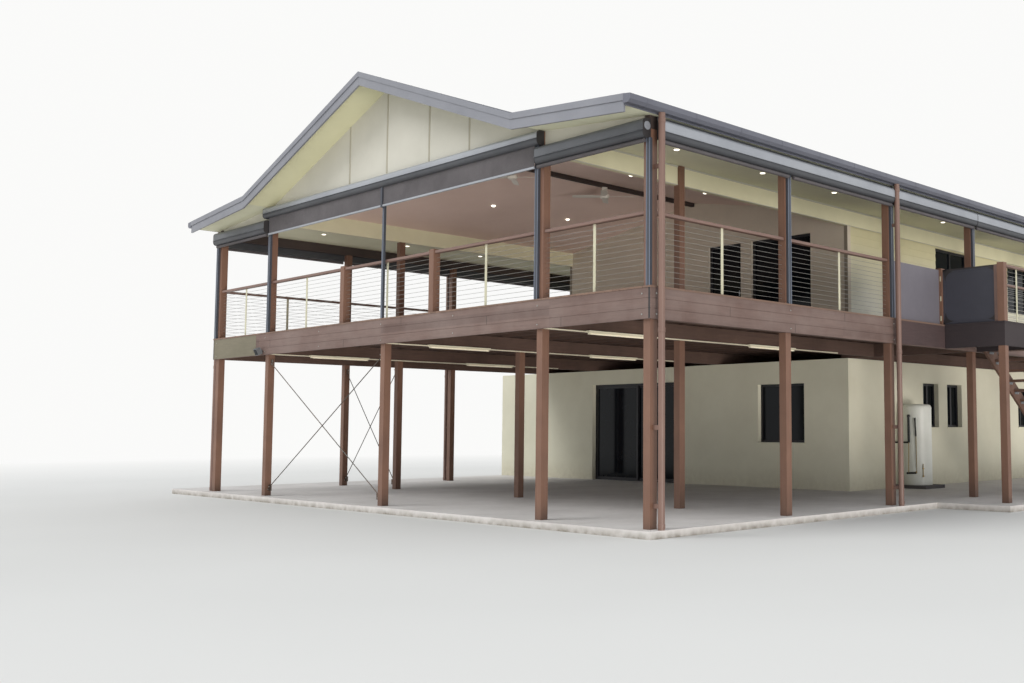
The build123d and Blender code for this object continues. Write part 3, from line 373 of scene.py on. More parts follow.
# The finish of each CAD node
finishNodes = {
    "concrete": ("floor_slab",),
    "plinth_stone": ("tank_plinth",),
    "post_paint": ("lower_posts", "upper_posts", "newel_posts"),
    "rod_steel": ("brace_rods",),
    "underside_timber": ("deck_bearers",),
    "joist_timber": ("deck_joists",),
    "deck_boards": ("deck_floor",),
    "fascia_boards": ("deck_fascia",),
    "landing_boards": ("landing",),
    "stair_timber": ("stair_stringers", "stair_treads"),
    "handrail": ("front_balustrade", "side_balustrades", "rear_balustrade", "stair_balustrade"),
    "screen_grey": ("side_screen",),
    "screen_dark": ("landing_screen",),
    "render": ("lower_front_wall_left", "lower_front_wall_right", "lower_door_lintel", "lower_side_walls",
               "lower_rear_wall"),
    "room_wall": ("upper_front_wall",),
    "wall_boards": ("upper_side_walls", "upper_rear_wall"),
    "gable_panel": ("front_gable_wall",),
    "beam_dark": ("eave_beams", "gable_lintels", "ridge_beam"),
    "beam_paint": ("ceiling_bulkheads",),
    "ceiling_paint": ("room_ceiling",),
    "soffit_paint": ("veranda_soffits",),
    "gable_soffit": ("gable_soffits",),
    "frame_timber": ("rafters", "ridge_board"),
    "roof_steel": ("roof_sheets_main", "roof_sheets_veranda"),
    "trim_steel": ("ridge_cap", "barge_boards"),
    "gutter_steel": ("gutters",),
    "pipe_paint": ("downpipes",),
    # The headboxes below their pale shells are painted dark, as painted shade
    "box_dark": ("blind_boxes",),
    "blind_channel": ("blind_guides",),
    "blind_mesh": ("blind_screens",),
    "black_frame": ("window_frames", "sliding_door_frame", "sliding_door_leaf"),
    "glass": ("window_glass",),
    "fan_white": ("fan_mounts", "front_fan", "rear_fan"),
    "light_white": ("batten_lights",),
    "lamp_case": ("floodlight",),
    "tank_enamel": ("hot_water_tank",),
}
for finish, names in finishNodes.items():
    for name in names:
        slots = nodes[name].data.materials
        if len(slots) == 0:
            slots.append(finishes[finish])
        for i in range(len(slots)):
            slots[i] = finishes[finish]
print("finishes made")


# Mesh helpers

def link(name, mesh):
    piece = bpy.data.objects.new(name, mesh)
    bpy.context.scene.collection.objects.link(piece)
    return piece


def outward(shape):
    bmesh.ops.recalc_face_normals(shape, faces=shape.faces)
    return shape


def fromShape(name, shape):
    mesh = bpy.data.meshes.new(name)
    shape.to_mesh(mesh)
    shape.free()
    return link(name, mesh)


def dress(piece, finish, slot, body="house", stands=()):
    piece.data.materials.clear()
    piece.data.materials.append(finishes[finish])
    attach(piece, body)
    if stands:
        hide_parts(*stands)
    return piece


def build(name, shape, finish, slot, edge=0.0, segments=2, **more):
    # A dressed piece from a shape, with its edges eased where a width is given
    piece = fromShape(name, outward(shape))
    if edge:
        bevel = piece.modifiers.new("edges", "BEVEL")
        bevel.width = edge
        bevel.segments = segments
        bevel.limit_method = "ANGLE"
    return dress(piece, finish, slot, **more)


def buildAll(name, add, parts, *rest, **more):
    # A piece of many like parts, each given by the values that its add function takes
    shape = bmesh.new()
    for part in parts:
        add(shape, *part)
    return build(name, shape, *rest, **more)


def skin(shape, rings):
    # Faces from ring to ring, and a closed end on the first and the last
    for a, b in zip(rings, rings[1:]):
        for k in range(len(a)):
            n = (k + 1) % len(a)
            shape.faces.new([a[k], a[n], b[n], b[k]])
    shape.faces.new(list(reversed(rings[0])))
    shape.faces.new(rings[-1])


def addBar(shape, a, b, width, low, high):
    # Straight strip between two points, with upright ends
    a, b = Vector(a), Vector(b)
    along = Vector((b.x - a.x, b.y - a.y, 0)).normalized()
    side = Vector((-along.y, along.x, 0)) * width / 2
    corners = [p + s + Vector((0, 0, z)) for p in (a, b) for s in (-side, side) for z in (low, high)]
    v = [shape.verts.new(c) for c in corners]
    for face in ((0, 1, 3, 2), (4, 6, 7, 5), (0, 4, 5, 1), (2, 3, 7, 6), (0, 2, 6, 4), (1, 5, 7, 3)):
        shape.faces.new([v[i] for i in face])


def addBlock(shape, low, high):
    middle = (low[1] + high[1]) / 2
    addBar(shape, (low[0], middle, 0), (high[0], middle, 0), high[1] - low[1], low[2], high[2])


def addPair(shape, low, high):
    # A block and its twin on the other side of the house
    for side in (-1, 1):
        a, b = sorted((low[0] * side, high[0] * side))
        addBlock(shape, (a, low[1], low[2]), (b, high[1], high[2]))


def circle(sides):
    return [2 * math.pi * k / sides for k in range(sides)]


def addTube(shape, points, radius, sides=10):
    # Tube with closed ends through the points
    rings = []
    points = [Vector(p) for p in points]
    for i, p in enumerate(points):
        ahead = points[min(i + 1, len(points) - 1)] - points[max(i - 1, 0)]
        ahead.normalize()
        across = ahead.cross(Vector((0, 0, 1)))
        if across.length < 0.01:
            across = Vector((1, 0, 0))
        across.normalize()
        up = across.cross(ahead)
        rings.append([shape.verts.new(p + (across * math.cos(t) + up * math.sin(t)) * radius)
                      for t in circle(sides)])
    skin(shape, rings)


def addTurned(shape, profile, centre, sides=32):
    # Profile of (radius, height) points turned about an upright axis
    x, y, z = centre
    skin(shape, [[shape.verts.new((x + radius * math.cos(t), y + radius * math.sin(t), z + height))
                  for t in circle(sides)] for radius, height in profile])


def addRun(shape, outline, a, b, out):
    # Section of (outwards, up) points drawn from a to b
    out = Vector(out)
    skin(shape, [[shape.verts.new(Vector(p) + out * u + Vector((0, 0, v))) for u, v in outline]
                 for p in (a, b)])


def addPlate(shape, low, high, turn, centre):
    # Block turned about the X axis through a centre
    made = bmesh.new()
    addBlock(made, low, high)
    bmesh.ops.rotate(made, verts=made.verts, cent=centre, matrix=Matrix.Rotation(turn, 3, "X"))
    mesh = bpy.data.meshes.new("plate")
    made.to_mesh(mesh)
    made.free()
    shape.from_mesh(mesh)
    bpy.data.meshes.remove(mesh)


# Geometry Nodes helpers

def newRun(name, inputs):
    return newTree(name, "Geometry", {"Geometry": "Geometry", **inputs, "Finish": "Material"},
                   {"Geometry": "Geometry"})


def endRun(tree, given, out, points, shape, **more):
    # Puts a shape on the points, makes the copies real and gives them their finish
    placed = put(tree, "GeometryNodeInstanceOnPoints", {"Points": points, "Instance": shape, **more})
    real = put(tree, "GeometryNodeRealizeInstances", {"Geometry": placed.outputs["Instances"]})
    painted = put(tree, "GeometryNodeSetMaterial", {"Geometry": real.outputs["Geometry"],
                                                    "Material": given["Finish"]})
    tree.links.new(painted.outputs["Geometry"], out["Geometry"])


def grow(name, tree, values, finish, slot, base=None, **more):
    # A dressed piece from a tree, run on a mesh and kept as a plain result
    values = {**values, "Finish": finishes[finish]}
    piece = link(name, base or bpy.data.meshes.new(name))
    modifier = piece.modifiers.new("grow", "NODES")
    modifier.node_group = tree
    for item in tree.interface.items_tree:
        if item.item_type == "SOCKET" and item.in_out == "INPUT" and item.name in values:
            modifier[item.identifier] = values[item.name]
    graph = bpy.context.evaluated_depsgraph_get()
    result = bpy.data.meshes.new_from_object(piece.evaluated_get(graph))
    piece.modifiers.clear()
    piece.data = result
    return dress(piece, finish, slot, **more)


# Boards side by side
boardTree, given, out = newRun("boardRun", {"First": "Vector", "Step": "Vector", "Board": "Vector",
                                            "Count": 10})
run = put(boardTree, "GeometryNodeMeshLine", {"Count": given["Count"], "Start Location": given["First"],
                                              "Offset": given["Step"]}, mode="OFFSET")
cube = put(boardTree, "GeometryNodeMeshCube", {"Size": given["Board"]})
endRun(boardTree, given, out, run.outputs["Mesh"], cube.outputs["Mesh"])

# Rows of thin wires one above the other, along the edges of a mesh
wireTree, given, out = newRun("wireRows", {"Rows": 12, "Rise": "Vector", "Radius": 0.003, "Sides": 6})
line = put(wireTree, "GeometryNodeMeshToCurve", {"Mesh": given["Geometry"]})
ring = put(wireTree, "GeometryNodeCurvePrimitiveCircle", {"Resolution": given["Sides"],
                                                          "Radius": given["Radius"]})
wire = put(wireTree, "GeometryNodeCurveToMesh", {"Curve": line.outputs["Curve"],
                                                 "Profile Curve": ring.outputs["Curve"], "Fill Caps": True})
stack = put(wireTree, "GeometryNodeMeshLine", {"Count": given["Rows"], "Offset": given["Rise"]},
            mode="OFFSET")
endRun(wireTree, given, out, stack.outputs["Mesh"], wire.outputs["Mesh"])

# Copies of a small shape on the points of a mesh, turned at random about Z
copyTree, given, out = newRun("copies", {"Shape": "Object", "Turn": 0.0, "Seed": 3})
source = put(copyTree, "GeometryNodeObjectInfo", {"Object": given["Shape"]})
turn = put(copyTree, "FunctionNodeRandomValue", {"Max": given["Turn"], "Seed": given["Seed"]},
           data_type="FLOAT")
axis = put(copyTree, "ShaderNodeCombineXYZ", {"Z": turn.outputs["Value"]})
endRun(copyTree, given, out, given["Geometry"], source.outputs["Geometry"], Rotation=axis.outputs["Vector"])


def scatter(name, shape, points, turn, finish, slot):
    # Copies of a bmesh shape at the points
    source = fromShape(name + "Source", outward(shape))
    mesh = bpy.data.meshes.new(name)
    mesh.from_pydata(points, [], [])
    grow(name, copyTree, {"Shape": source, "Turn": turn}, finish, slot, mesh)
    bpy.data.objects.remove(source)


print("tools ready")

# Deck boards
deck = {"count": 88, "gap": 0.004, "thick": 0.025, "edgeX": 6.3605, "edgeY": 8.6865}
pitch = (2 * deck["edgeX"] + deck["gap"]) / deck["count"]
grow("deckBoards", boardTree, {
    "First": (pitch / 2 - deck["edgeX"] - deck["gap"] / 2, 0.0, house["deckZ"] - deck["thick"] / 2),
    "Step": (pitch, 0.0, 0.0), "Board": (pitch - deck["gap"], 2 * deck["edgeY"], deck["thick"]),
    "Count": deck["count"]}, "deck_boards", "deck_boards", stands=("deck_floor",))

# Balustrades: handrails, a flat bar in the middle of each span, and wires
rails = {"top": 1.0, "deep": 0.045, "wide": 0.09, "wires": 12, "firstWire": 0.08, "wire": 0.0028,
         "barWide": 0.05, "barThick": 0.01, "newel": 1.37, "stairX": 7.49, "stairRun": 4.335, "stairBay": 2}


def railSpans():
    half, outer, z = house["halfPost"], house["outer"], house["deckZ"]
    stops = (-outer, -house["halfSpan"], -rails["newel"], rails["newel"], house["halfSpan"], outer)
    found = [((a + half, rows[0], z), (b - half, rows[0], z)) for a, b in zip(stops, stops[1:])]
    for i, (a, b) in enumerate(zip(rows, rows[1:])):
        found.append(((-outer, a + half, z), (-outer, b - half, z)))
        if i != rails["stairBay"]:
            found.append(((outer, a + half, z), (outer, b - half, z)))
    for side in (-1, 1):
        found.append(((side * house["coreX"], rows[-1], z), (side * (outer - half), rows[-1], z)))
    x = house["landingX"]
    found.append(((x, house["landingY"] + half, z), (x, -half, z)))
    found.append(((rails["stairX"], half, z), (rails["stairX"], half + rails["stairRun"], house["floorZ"])))
    return found


spans = railSpans()
railLow = rails["top"] - rails["deep"]
buildAll("handRails", addBar, [(a, b, rails["wide"], railLow, rails["top"]) for a, b in spans],
         "handrail", "handrail", edge=0.006, stands=finishNodes["handrail"])

bars = []
for a, b in spans:
    middle = (Vector(a) + Vector(b)) / 2
    reach = (Vector(b) - Vector(a)).normalized() * rails["barWide"] / 2
    bars.append((middle - reach, middle + reach, rails["barThick"], 0.0, railLow))
buildAll("stanchions", addBar, bars, "stanchion_paint", "handrail", edge=0.002, segments=1)

lineMesh = bpy.data.meshes.new("wireLines")
ends = [(x, y, z + rails["firstWire"]) for span in spans for x, y, z in span]
lineMesh.from_pydata(ends, [(i, i + 1) for i in range(0, len(ends), 2)], [])
grow("railWires", wireTree, {
    "Rows": rails["wires"], "Rise": (0.0, 0.0, (railLow - rails["firstWire"]) / rails["wires"]),
    "Radius": rails["wire"]}, "wire_steel", "rod_steel", lineMesh)
print("deck and rails done")

# Blinds over the open end and along the sides
blinds = {"meshY": -8.7035, "meshLow": 5.156, "meshHigh": 5.456, "inner": 0.027, "outer": 4.0255,
          "columns": 48, "lines": 5, "sag": 0.0032, "sagStep": 0.21,
          "barLow": 5.121, "barHalf": 0.016,
          "rollX": (4.098, 6.265), "rollZ": 5.14, "roll": 0.029, "rollEnd": 0.06, "flankX": 6.3775}


def meshScreen(name, x0, x1):
    # Let-down mesh, slack by a few millimetres between its edges
    shape = bmesh.new()
    columns, lines = blinds["columns"], blinds["lines"]
    drop = blinds["meshHigh"] - blinds["meshLow"]
    random.seed(7 if x0 > 0 else 8)
    sag = [random.uniform(-1, 1) for _ in range(7)]
    grid = []
    for i in range(columns + 1):
        x = x0 + (x1 - x0) * i / columns
        wave = sum(s * math.sin(i * (k + 1) * blinds["sagStep"] + s * 9) for k, s in enumerate(sag))
        wave *= blinds["sag"]
        grid.append([shape.verts.new((x, blinds["meshY"] + wave * math.sin(math.pi * j / lines),
                                      blinds["meshLow"] + drop * j / lines)) for j in range(lines + 1)])
    for a, b in zip(grid, grid[1:]):
        for j in range(lines):
            shape.faces.new([a[j], b[j], b[j + 1], a[j + 1]])
    piece = dress(fromShape(name, shape), "blind_mesh", "blind_mesh", stands=("blind_screens",))


meshScreen("meshRight", blinds["inner"], blinds["outer"])
meshScreen("meshLeft", -blinds["outer"], -blinds["inner"])

bar = ((blinds["inner"], blinds["meshY"] - blinds["barHalf"], blinds["barLow"]),
       (blinds["outer"], blinds["meshY"] + blinds["barHalf"], blinds["meshLow"]))
buildAll("meshBars", addPair, [bar], "hood_steel", "blind_case", edge=0.006)

rolls, rollEnd = [], blinds["rollEnd"]
for side in (-1, 1):
    x = blinds["flankX"] * side
    rolls.append([(x * side, blinds["meshY"]) for x in blinds["rollX"]])
    rolls += [[(x, a + rollEnd), (x, b - rollEnd)] for a, b in zip(rows[:4], rows[1:])]
buildAll("blindRolls", addTube, [([(*place, blinds["rollZ"]) for place in roll], blinds["roll"], 20)
                                 for roll in rolls], "blind_mesh", "blind_mesh")

# Joints between the panels of the gable wall
panels = {"xs": (-1.22, -0.02, 1.23, 2.32), "low": 5.665, "face": -8.616, "wide": 0.034, "proud": 0.008,
          "short": 0.005}
half = panels["wide"] / 2
buildAll("gableJoints", addBlock, [((x - half, panels["face"] - panels["proud"], panels["low"]),
                                    (x + half, panels["face"], soffitZ(x) - panels["short"]))
                                   for x in panels["xs"]], "joint_strip", "gable_panel")

# Downlights: ring and bright lens
downlights = {"ring": ((0.0385, -0.002), (0.055, -0.006), (0.055, 0.012)),
              "lens": ((0.021, 1.0), (0.042, 0.65), (0.042, 0.0)),  # radius, share of the drop
              "verandaDrop": 0.016, "verandaXs": (-5.43, 5.03), "verandaYs": (-6.78, -4.7, -2.65, 1.22, 5.2),
              "roomDrop": 0.036, "roomXs": (-2.05, 2.05), "roomYs": (-6.9, -4.83, -2.79)}
shape, lenses = bmesh.new(), bmesh.new()
for part, levelAt in (("veranda", soffitZ), ("room", ceilingZ)):
    drop = downlights[part + "Drop"]
    lens = [(radius, -drop * share) for radius, share in downlights["lens"]]
    for y in downlights[part + "Ys"]:
        for x in downlights[part + "Xs"]:
            addTurned(shape, downlights["ring"], (x, y, levelAt(x)), sides=20)
            addTurned(lenses, lens, (x, y, levelAt(x)), sides=20)
build("downlightRings", shape, "fan_white", "fan_white")
build("downlightLenses", lenses, "lamp_glow", "light_white")
print("ceilings done")

# Roof screws on every rib
screws = {"head": ((0.012, 0.0), (0.012, 0.002), (0.008, 0.002), (0.008, 0.006)), "bed": 0.001, "turn": 1.0,
          "lines": (0.35, 1.25, 2.15, 3.05, 3.98, 4.2, 5.2, 6.2), "ribs": 61, "firstRib": -9.0, "pitch": 0.3}
head = bmesh.new()
addTurned(head, screws["head"], (0, 0, 0), sides=6)
points = [(side * x, screws["firstRib"] + screws["pitch"] * i, roofTop(x) - screws["bed"])
          for side in (-1, 1) for x in screws["lines"] for i in range(screws["ribs"])]
scatter("roofScrews", head, points, screws["turn"], "trim_steel", "trim_steel")

# Headboxes: a pale shell over the top and upper front, which is a painted highlight where the box reflects
# the sky, and a black cap on each end
boxes = {"out": 0.14, "round": 0.06, "steps": 6, "proud": 0.003, "bed": 0.0004, "cap": 0.004,
         "lip": 0.012, "lipTop": 0.008, "lipLow": 0.014, "lipBack": 0.006,
         "faceY": -8.6335, "mainHalf": 4.1525, "mainZ": 5.661, "mainDeep": 0.205, "mainHood": 0.105,
         "sideFrom": 4.093, "sideX": 6.3075, "sideZ": 5.4215, "sideDeep": 0.25, "sideHood": 0.15,
         "flankYs": ((-8.516, -2.912), (-2.802, -0.005), (0.005, 2.857))}


def boxRuns():
    y, x, z, half = boxes["faceY"], boxes["sideX"], boxes["sideZ"], boxes["mainHalf"]
    found = [((-half, y, boxes["mainZ"]), (half, y, boxes["mainZ"]), (0, -1, 0), "main")]
    for side in (-1, 1):
        a, b = sorted((boxes["sideFrom"] * side, x * side))
        found.append(((a, y, z), (b, y, z), (0, -1, 0), "side"))
        for low, high in boxes["flankYs"]:
            found.append(((x * side, low, z), (x * side, high, z), (side, 0, 0), "side"))
    return found


def bend(radius, upper=True, depth=0.0):
    # Quarter turn round the front edge of a headbox, from the flat to the front
    middle = boxes["out"] - boxes["round"]
    found = []
    for i in range(boxes["steps"] + 1):
        turn = math.pi / 2 * i / boxes["steps"]
        u, v = middle + radius * math.sin(turn), radius * math.cos(turn) - boxes["round"]
        found.append((u, v) if upper else (u, -depth - v))
    return found


def hoodOutline(drop):
    proud, bed = boxes["proud"], boxes["bed"]
    face = boxes["out"] + proud
    lip = face + boxes["lip"]
    edge = [(face, -drop), (lip, -drop - boxes["lipTop"]), (lip, -drop - boxes["lipLow"]),
            (boxes["out"] + bed, -drop - boxes["lipBack"])]
    return ([(0, proud)] + bend(boxes["round"] + proud) + edge + list(reversed(bend(boxes["round"] + bed)))
            + [(0, bed)])


def capOutline(depth):
    radius, proud = boxes["round"] + boxes["cap"], boxes["cap"]
    return [(0, proud)] + bend(radius) + list(reversed(bend(radius, False, depth))) + [(0, -depth - proud)]


hood, darkHood, cap = bmesh.new(), bmesh.new(), bmesh.new()
for a, b, out, kind in boxRuns():
    # Front boxes beside the main one take the darker copy of the shell, as painted shade
    beside = kind == "side" and out[1]  # next to the main box, where the hood is darker
    addRun(darkHood if beside else hood, hoodOutline(boxes[kind + "Hood"]), a, b, out)
    a, b = Vector(a), Vector(b)
    along = (b - a).normalized() * boxes["cap"]
    for start, end in ((a - along / 2, a + along), (b - along, b + along / 2)):
        addRun(cap, capOutline(boxes[kind + "Deep"]), start, end, out)
build("boxHoods", hood, "hood_steel", "blind_case")
build("flankHoods", darkHood, "hood_dark", "blind_case")
build("boxCaps", cap, "screen_rim", "black_frame")

# Pale lips on the upright guides, and the middle guide's box
guides = {"lip": 0.008, "proud": 0.002, "low": 3.232,
          "front": ((0.0, 0.022, 5.455), (4.04, 0.035, 5.455), (-4.04, 0.035, 5.455), (6.305, 0.035, 5.17),
                    (-6.305, 0.035, 5.17)),  # place, half width and top
          "flank": (0.035, 5.17), "middleLow": (-0.022, -8.727, 5.11), "middleHigh": (0.022, -8.6785, 5.456)}
lip, proud, low = guides["lip"], guides["proud"], guides["low"]
shape = bmesh.new()
for x, half, high in guides["front"]:
    for edge in (x - half, x + half - lip):
        addBlock(shape, (edge, -house["fasciaY"] - proud, low), (edge + lip, -house["fasciaY"] + proud, high))
half, high = guides["flank"]
for y in rows[1:4]:
    for edge in (y - half, y + half - lip):
        addPair(shape, (house["fasciaX"] - proud, edge, low), (house["fasciaX"] + proud, edge + lip, high))
build("guideLips", shape, "channel_lip", "blind_channel")
buildAll("middleGuide", addBlock, [(guides["middleLow"], guides["middleHigh"])], "blind_channel",
         "blind_channel", edge=0.003, segments=1)

# Dark strips that close the flank boxes up to the soffit, in the boxes' painted-shade colour, and the round
# brackets at the corners
closers = {"low": (6.308, -8.516, 5.4225), "high": (6.314, 2.857, 5.483)}
buildAll("boxClosers", addPair, [(closers["low"], closers["high"])], "box_dark", "blind_case")
brackets = {"y": -8.705, "z": 5.325, "xs": (6.312, 6.319, 6.325), "disc": (0.056, 24), "hub": (0.02, 16)}
rounds = []
for side in (-1, 1):
    back, face, tip = [(x * side, brackets["y"], brackets["z"]) for x in brackets["xs"]]
    rounds += [([back, face], *brackets["disc"]), ([face, tip], *brackets["hub"])]
buildAll("boxBrackets", addTube, rounds, "hood_steel", "blind_case")
print("blinds done")

# Batten lights with round tubes, and the conduits between them
battens = {"starts": (0.78, 4.53), "long": 1.3, "wide": 0.08, "high": 0.03, "base": 2.8, "offLine": 0.045,
           "flat": 0.022, "under": 0.004, "tube": 0.013, "tubeDrop": 0.015, "tubeEnd": 0.04,
           "holder": (0.018, 0.025, 0.028), "holderYs": (0.02, -0.045), "sunk": 0.002,
           "conduit": 0.011, "conduitIn": 0.02, "conduitUp": 0.012, "lap": 0.001, "front": 0.06,
           "back": -1.34}
shape, tubes, pipes = bmesh.new(), bmesh.new(), bmesh.new()
half, z = battens["wide"] / 2, battens["base"]
flat, under = battens["flat"], battens["under"]
section = [(-half, battens["high"]), (half, battens["high"]), (half, under), (flat, -under), (-flat, -under),
           (-half, under)]
holdX, holdY, holdZ = battens["holder"]


def addConduit(x, y0, y1):
    x, up = x - battens["conduitIn"], z + battens["conduitUp"]
    addTube(pipes, [(x, y0, up), (x, y1, up)], battens["conduit"])


for line in (-house["halfSpan"], 0.0, house["halfSpan"]):
    x = line + battens["offLine"] + half
    last = house["frontY"] - battens["front"]
    for start in battens["starts"]:
        y0 = house["frontY"] + start
        y1 = y0 + battens["long"]
        addRun(shape, section, (x, y0, z), (x, y1, z), (1, 0, 0))
        for end in (y0 + battens["holderYs"][0], y1 + battens["holderYs"][1]):
            addBlock(shape, (x - holdX, end, z - holdZ), (x + holdX, end + holdY, z + battens["sunk"]))
        addTube(tubes, [(x, y0 + battens["tubeEnd"], z - battens["tubeDrop"]),
                        (x, y1 - battens["tubeEnd"], z - battens["tubeDrop"])], battens["tube"], sides=14)
        addConduit(x, last, y0 + battens["lap"])
        last = y1 - battens["lap"]
    addConduit(x, last, battens["back"])
build("battenBases", shape, "light_white", "light_white", stands=("batten_lights",))
build("battenTubes", tubes, "tube_glow", "light_white")
build("conduits", pipes, "light_white", "light_white")

# Lamp on the fascia: its glass, and the cooling ribs behind
lamp = {"centre": (-4.2125, -8.7635, 2.865), "turn": 25.0, "glass": (0.05, 0.055), "glassY": (-0.049, -0.044),
        "rib": (0.056, 0.003), "ribY": (0.04, 0.056), "ribs": 5, "firstRib": -0.05, "ribPitch": 0.025}


def addLampPlate(shape, size, depth, up=0.0):
    x, y, z = lamp["centre"]
    (wide, tall), (front, back) = size, depth
    addPlate(shape, (x - wide, y + front, z + up - tall), (x + wide, y + back, z + up + tall),
             math.radians(lamp["turn"]), lamp["centre"])


buildAll("lampGlass", addLampPlate, [(lamp["glass"], lamp["glassY"])], "glass", "glass")
buildAll("lampRibs", addLampPlate, [(lamp["rib"], lamp["ribY"], lamp["firstRib"] + lamp["ribPitch"] * k)
                                    for k in range(lamp["ribs"])], "lamp_case", "lamp_case")

# Tank: seams and a panel, lagged pipes, thin pipes and valves
# A pipe is its radius, its sides and its points as (degrees round the tank, height, distance off the case)
tank = {"x": 3.9, "y": 1.95, "r": 0.31, "seams": (0.19, 1.78),
        "seam": ((0.3, 0.0), (0.314, 0.003), (0.314, 0.017), (0.3, 0.02)),
        "panel": ((-75, 0.36, 0.003), (-47, 0.36, 0.003), 0.05, 0.0, 0.2),
        "lagged": ((0.024, 14, (-90, 1.66, 0.03), (-90, 1.07, 0.03)),
                   (0.026, 14, (-90, 1.63, -0.02), (-90, 1.63, 0.05)),
                   (0.017, 12, (-66, 1.58, -0.02), (-66, 1.58, 0.03), (-63, 1.2, 0.024)),
                   (0.022, 12, (-100, 0.42, 0.03), (-64, 0.43, 0.03))),
        "feed": (3.552, 1.07, 0.03, 0.02),  # to the wall: X there, height, distance off the case, radius
        "thin": ((0.008, 10, (-63, 1.22, 0.022), (-62, 0.42, 0.022)),
                 (0.009, 10, (-90, 1.07, 0.03), (-92, 0.42, 0.03)),
                 (0.01, 10, (-38, 0.62, 0.012), (-38, 0.34, 0.012))),
        "valve": (0.016, 12, -0.01, 0.045), "valves": ((-90, 1.1), (-64, 0.45), (-38, 0.52), (-38, 0.36))}


def onTank(degrees, z, off=0.0):
    turn = math.radians(degrees)
    reach = tank["r"] + off
    return (tank["x"] + reach * math.cos(turn), tank["y"] + reach * math.sin(turn), z)


def addPipe(shape, radius, sides, *route):
    addTube(shape, [onTank(*place) for place in route], radius, sides)


shape = bmesh.new()
for z in tank["seams"]:
    addTurned(shape, tank["seam"], (tank["x"], tank["y"], z), sides=48)
start, end, *section = tank["panel"]
addBar(shape, onTank(*start), onTank(*end), *section)
build("tankSeams", shape, "tank_enamel", "tank_enamel", edge=0.002, segments=1)
shape = bmesh.new()
for pipe in tank["lagged"]:
    addPipe(shape, *pipe)
x, z, off, radius = tank["feed"]
addTube(shape, [onTank(-90, z, off), (x, tank["y"] - tank["r"] - off, z)], radius, sides=14)
build("tankLagging", shape, "lagging", "black_frame")
radius, sides, near, far = tank["valve"]
valves = [(radius, sides, (*place, near), (*place, far)) for place in tank["valves"]]
buildAll("tankValves", addPipe, [*tank["thin"], *valves], "brass", "rod_steel")
print("services done")

# Fans: a turned motor case and four planed blades on each rotor
fans = {"ys": {"front": -5.95, "rear": -3.58}, "z": 6.103, "blades": 4, "root": 0.075, "tip": 0.66,
        "start": 45.0, "twist": 12.0, "thick": 0.006,
        "case": ((0.03, 0.05), (0.07, 0.05), (0.088, 0.04), (0.095, 0.02), (0.095, -0.012), (0.085, -0.034),
                 (0.06, -0.048), (0.028, -0.0495)),
        "collar": ((0.012, 0.0557), (0.012, 0.03)),
        "outline": ((0.0, 0.032), (0.08, 0.05), (0.3, 0.0625), (0.75, 0.0625), (0.93, 0.056), (0.98, 0.042),
                    (1.0, 0.02))}


def fanPiece(name, y, body, stands):
    shape = bmesh.new()
    centre = (0, y, fans["z"])
    addTurned(shape, fans["case"], centre, sides=40)
    addTurned(shape, fans["collar"], centre, sides=16)
    length = fans["tip"] - fans["root"]
    slant = math.radians(fans["twist"])
    rim = list(fans["outline"]) + [(u, -w) for u, w in reversed(fans["outline"])]
    for i in range(fans["blades"]):
        turn = math.radians(fans["start"] + 360 / fans["blades"] * i)
        along = Vector((math.cos(turn), math.sin(turn), 0))
        across = Vector((-math.sin(turn) * math.cos(slant), math.cos(turn) * math.cos(slant),
                         math.sin(slant)))
        lift = along.cross(across) * fans["thick"] / 2
        skin(shape, [[shape.verts.new(Vector(centre) + along * (fans["root"] + length * u) + across * w
                                      + lift * flip) for u, w in rim] for flip in (-1, 1)])
    build(name, shape, "fan_white", "fan_white", body=body, stands=(stands,))


for fan, y in fans["ys"].items():
    fanPiece(fan + "Fan", y, fan + "_fan_rotor", fan + "_fan")

# Doors: panes of the sliding door, its pull, and the handles of the upper doors
doors = {"leafPane": ((-2.634, 0.0703, 0.18), (-1.287, 0.0787, 2.343)),
         "fixedPane": ((-4.039, 0.0253, 0.174), (-2.686, 0.0337, 2.349)),
         "pull": ((-1.275, 0.0505, 1.05), (-1.25, 0.056, 1.25)),
         "handleXs": (1.31, 2.41, 2.48), "handleY": -0.856, "handleZ": 4.25, "plate": (0.014, 0.006, 0.06),
         "stem": 0.035, "lever": 0.09, "leverUp": 0.02, "leverThick": 0.007}
for name, body in (("leafPane", "sliding_door"), ("fixedPane", "house")):
    buildAll(name, addBlock, [doors[name]], "glass", "glass", body=body)
buildAll("doorPull", addBlock, [doors["pull"]], "hood_steel", "blind_case", edge=0.002,
         body="sliding_door")
shape = bmesh.new()
y, z, up = doors["handleY"], doors["handleZ"], doors["handleZ"] + doors["leverUp"]
wide, deep, tall = doors["plate"]
for x in doors["handleXs"]:
    addBlock(shape, (x - wide, y - deep, z - tall), (x + wide, y, z + tall))
    addTube(shape, [(x, y, up), (x, y - doors["stem"], up), (x - doors["lever"], y - doors["stem"], up)],
            doors["leverThick"])
build("doorHandles", shape, "hood_steel", "blind_case")

# Trims: sills, corner strips of the upper rooms and cove lines along the boxed beams
trims = {"sill": 0.03, "frontSill": ((1.16, -0.14), (2.45, -0.02), 1.07), "sideSills": (2.83, 3.9, 7.5),
         "sideSillX": (3.5, 3.575), "sideSillZ": 1.39, "sideSillY": (-0.02, 0.7),
         "proud": 0.004, "sunk": 0.001, "cornerWide": 0.075, "cornerZ": (3.232, 5.353), "coveEnd": 8.5,
         "coveOut": 0.012, "coveZs": ((5.648, 5.674), (5.352, 5.364))}
(x0, x1), (y0, y1) = trims["sideSillX"], trims["sideSillY"]
sills = [trims["frontSill"]] + [((x0, y + y0), (x1, y + y1), trims["sideSillZ"]) for y in trims["sideSills"]]
buildAll("sills", addBlock, [((*low, z - trims["sill"]), (*high, z)) for low, high, z in sills],
         "render", "render", edge=0.004)
x, y, proud, end = house["coreX"], house["upperY"], trims["proud"], trims["coveEnd"]
low, high = trims["cornerZ"]
strip = ((x - trims["cornerWide"], y - proud, low), (x + proud, y + trims["sunk"], high))
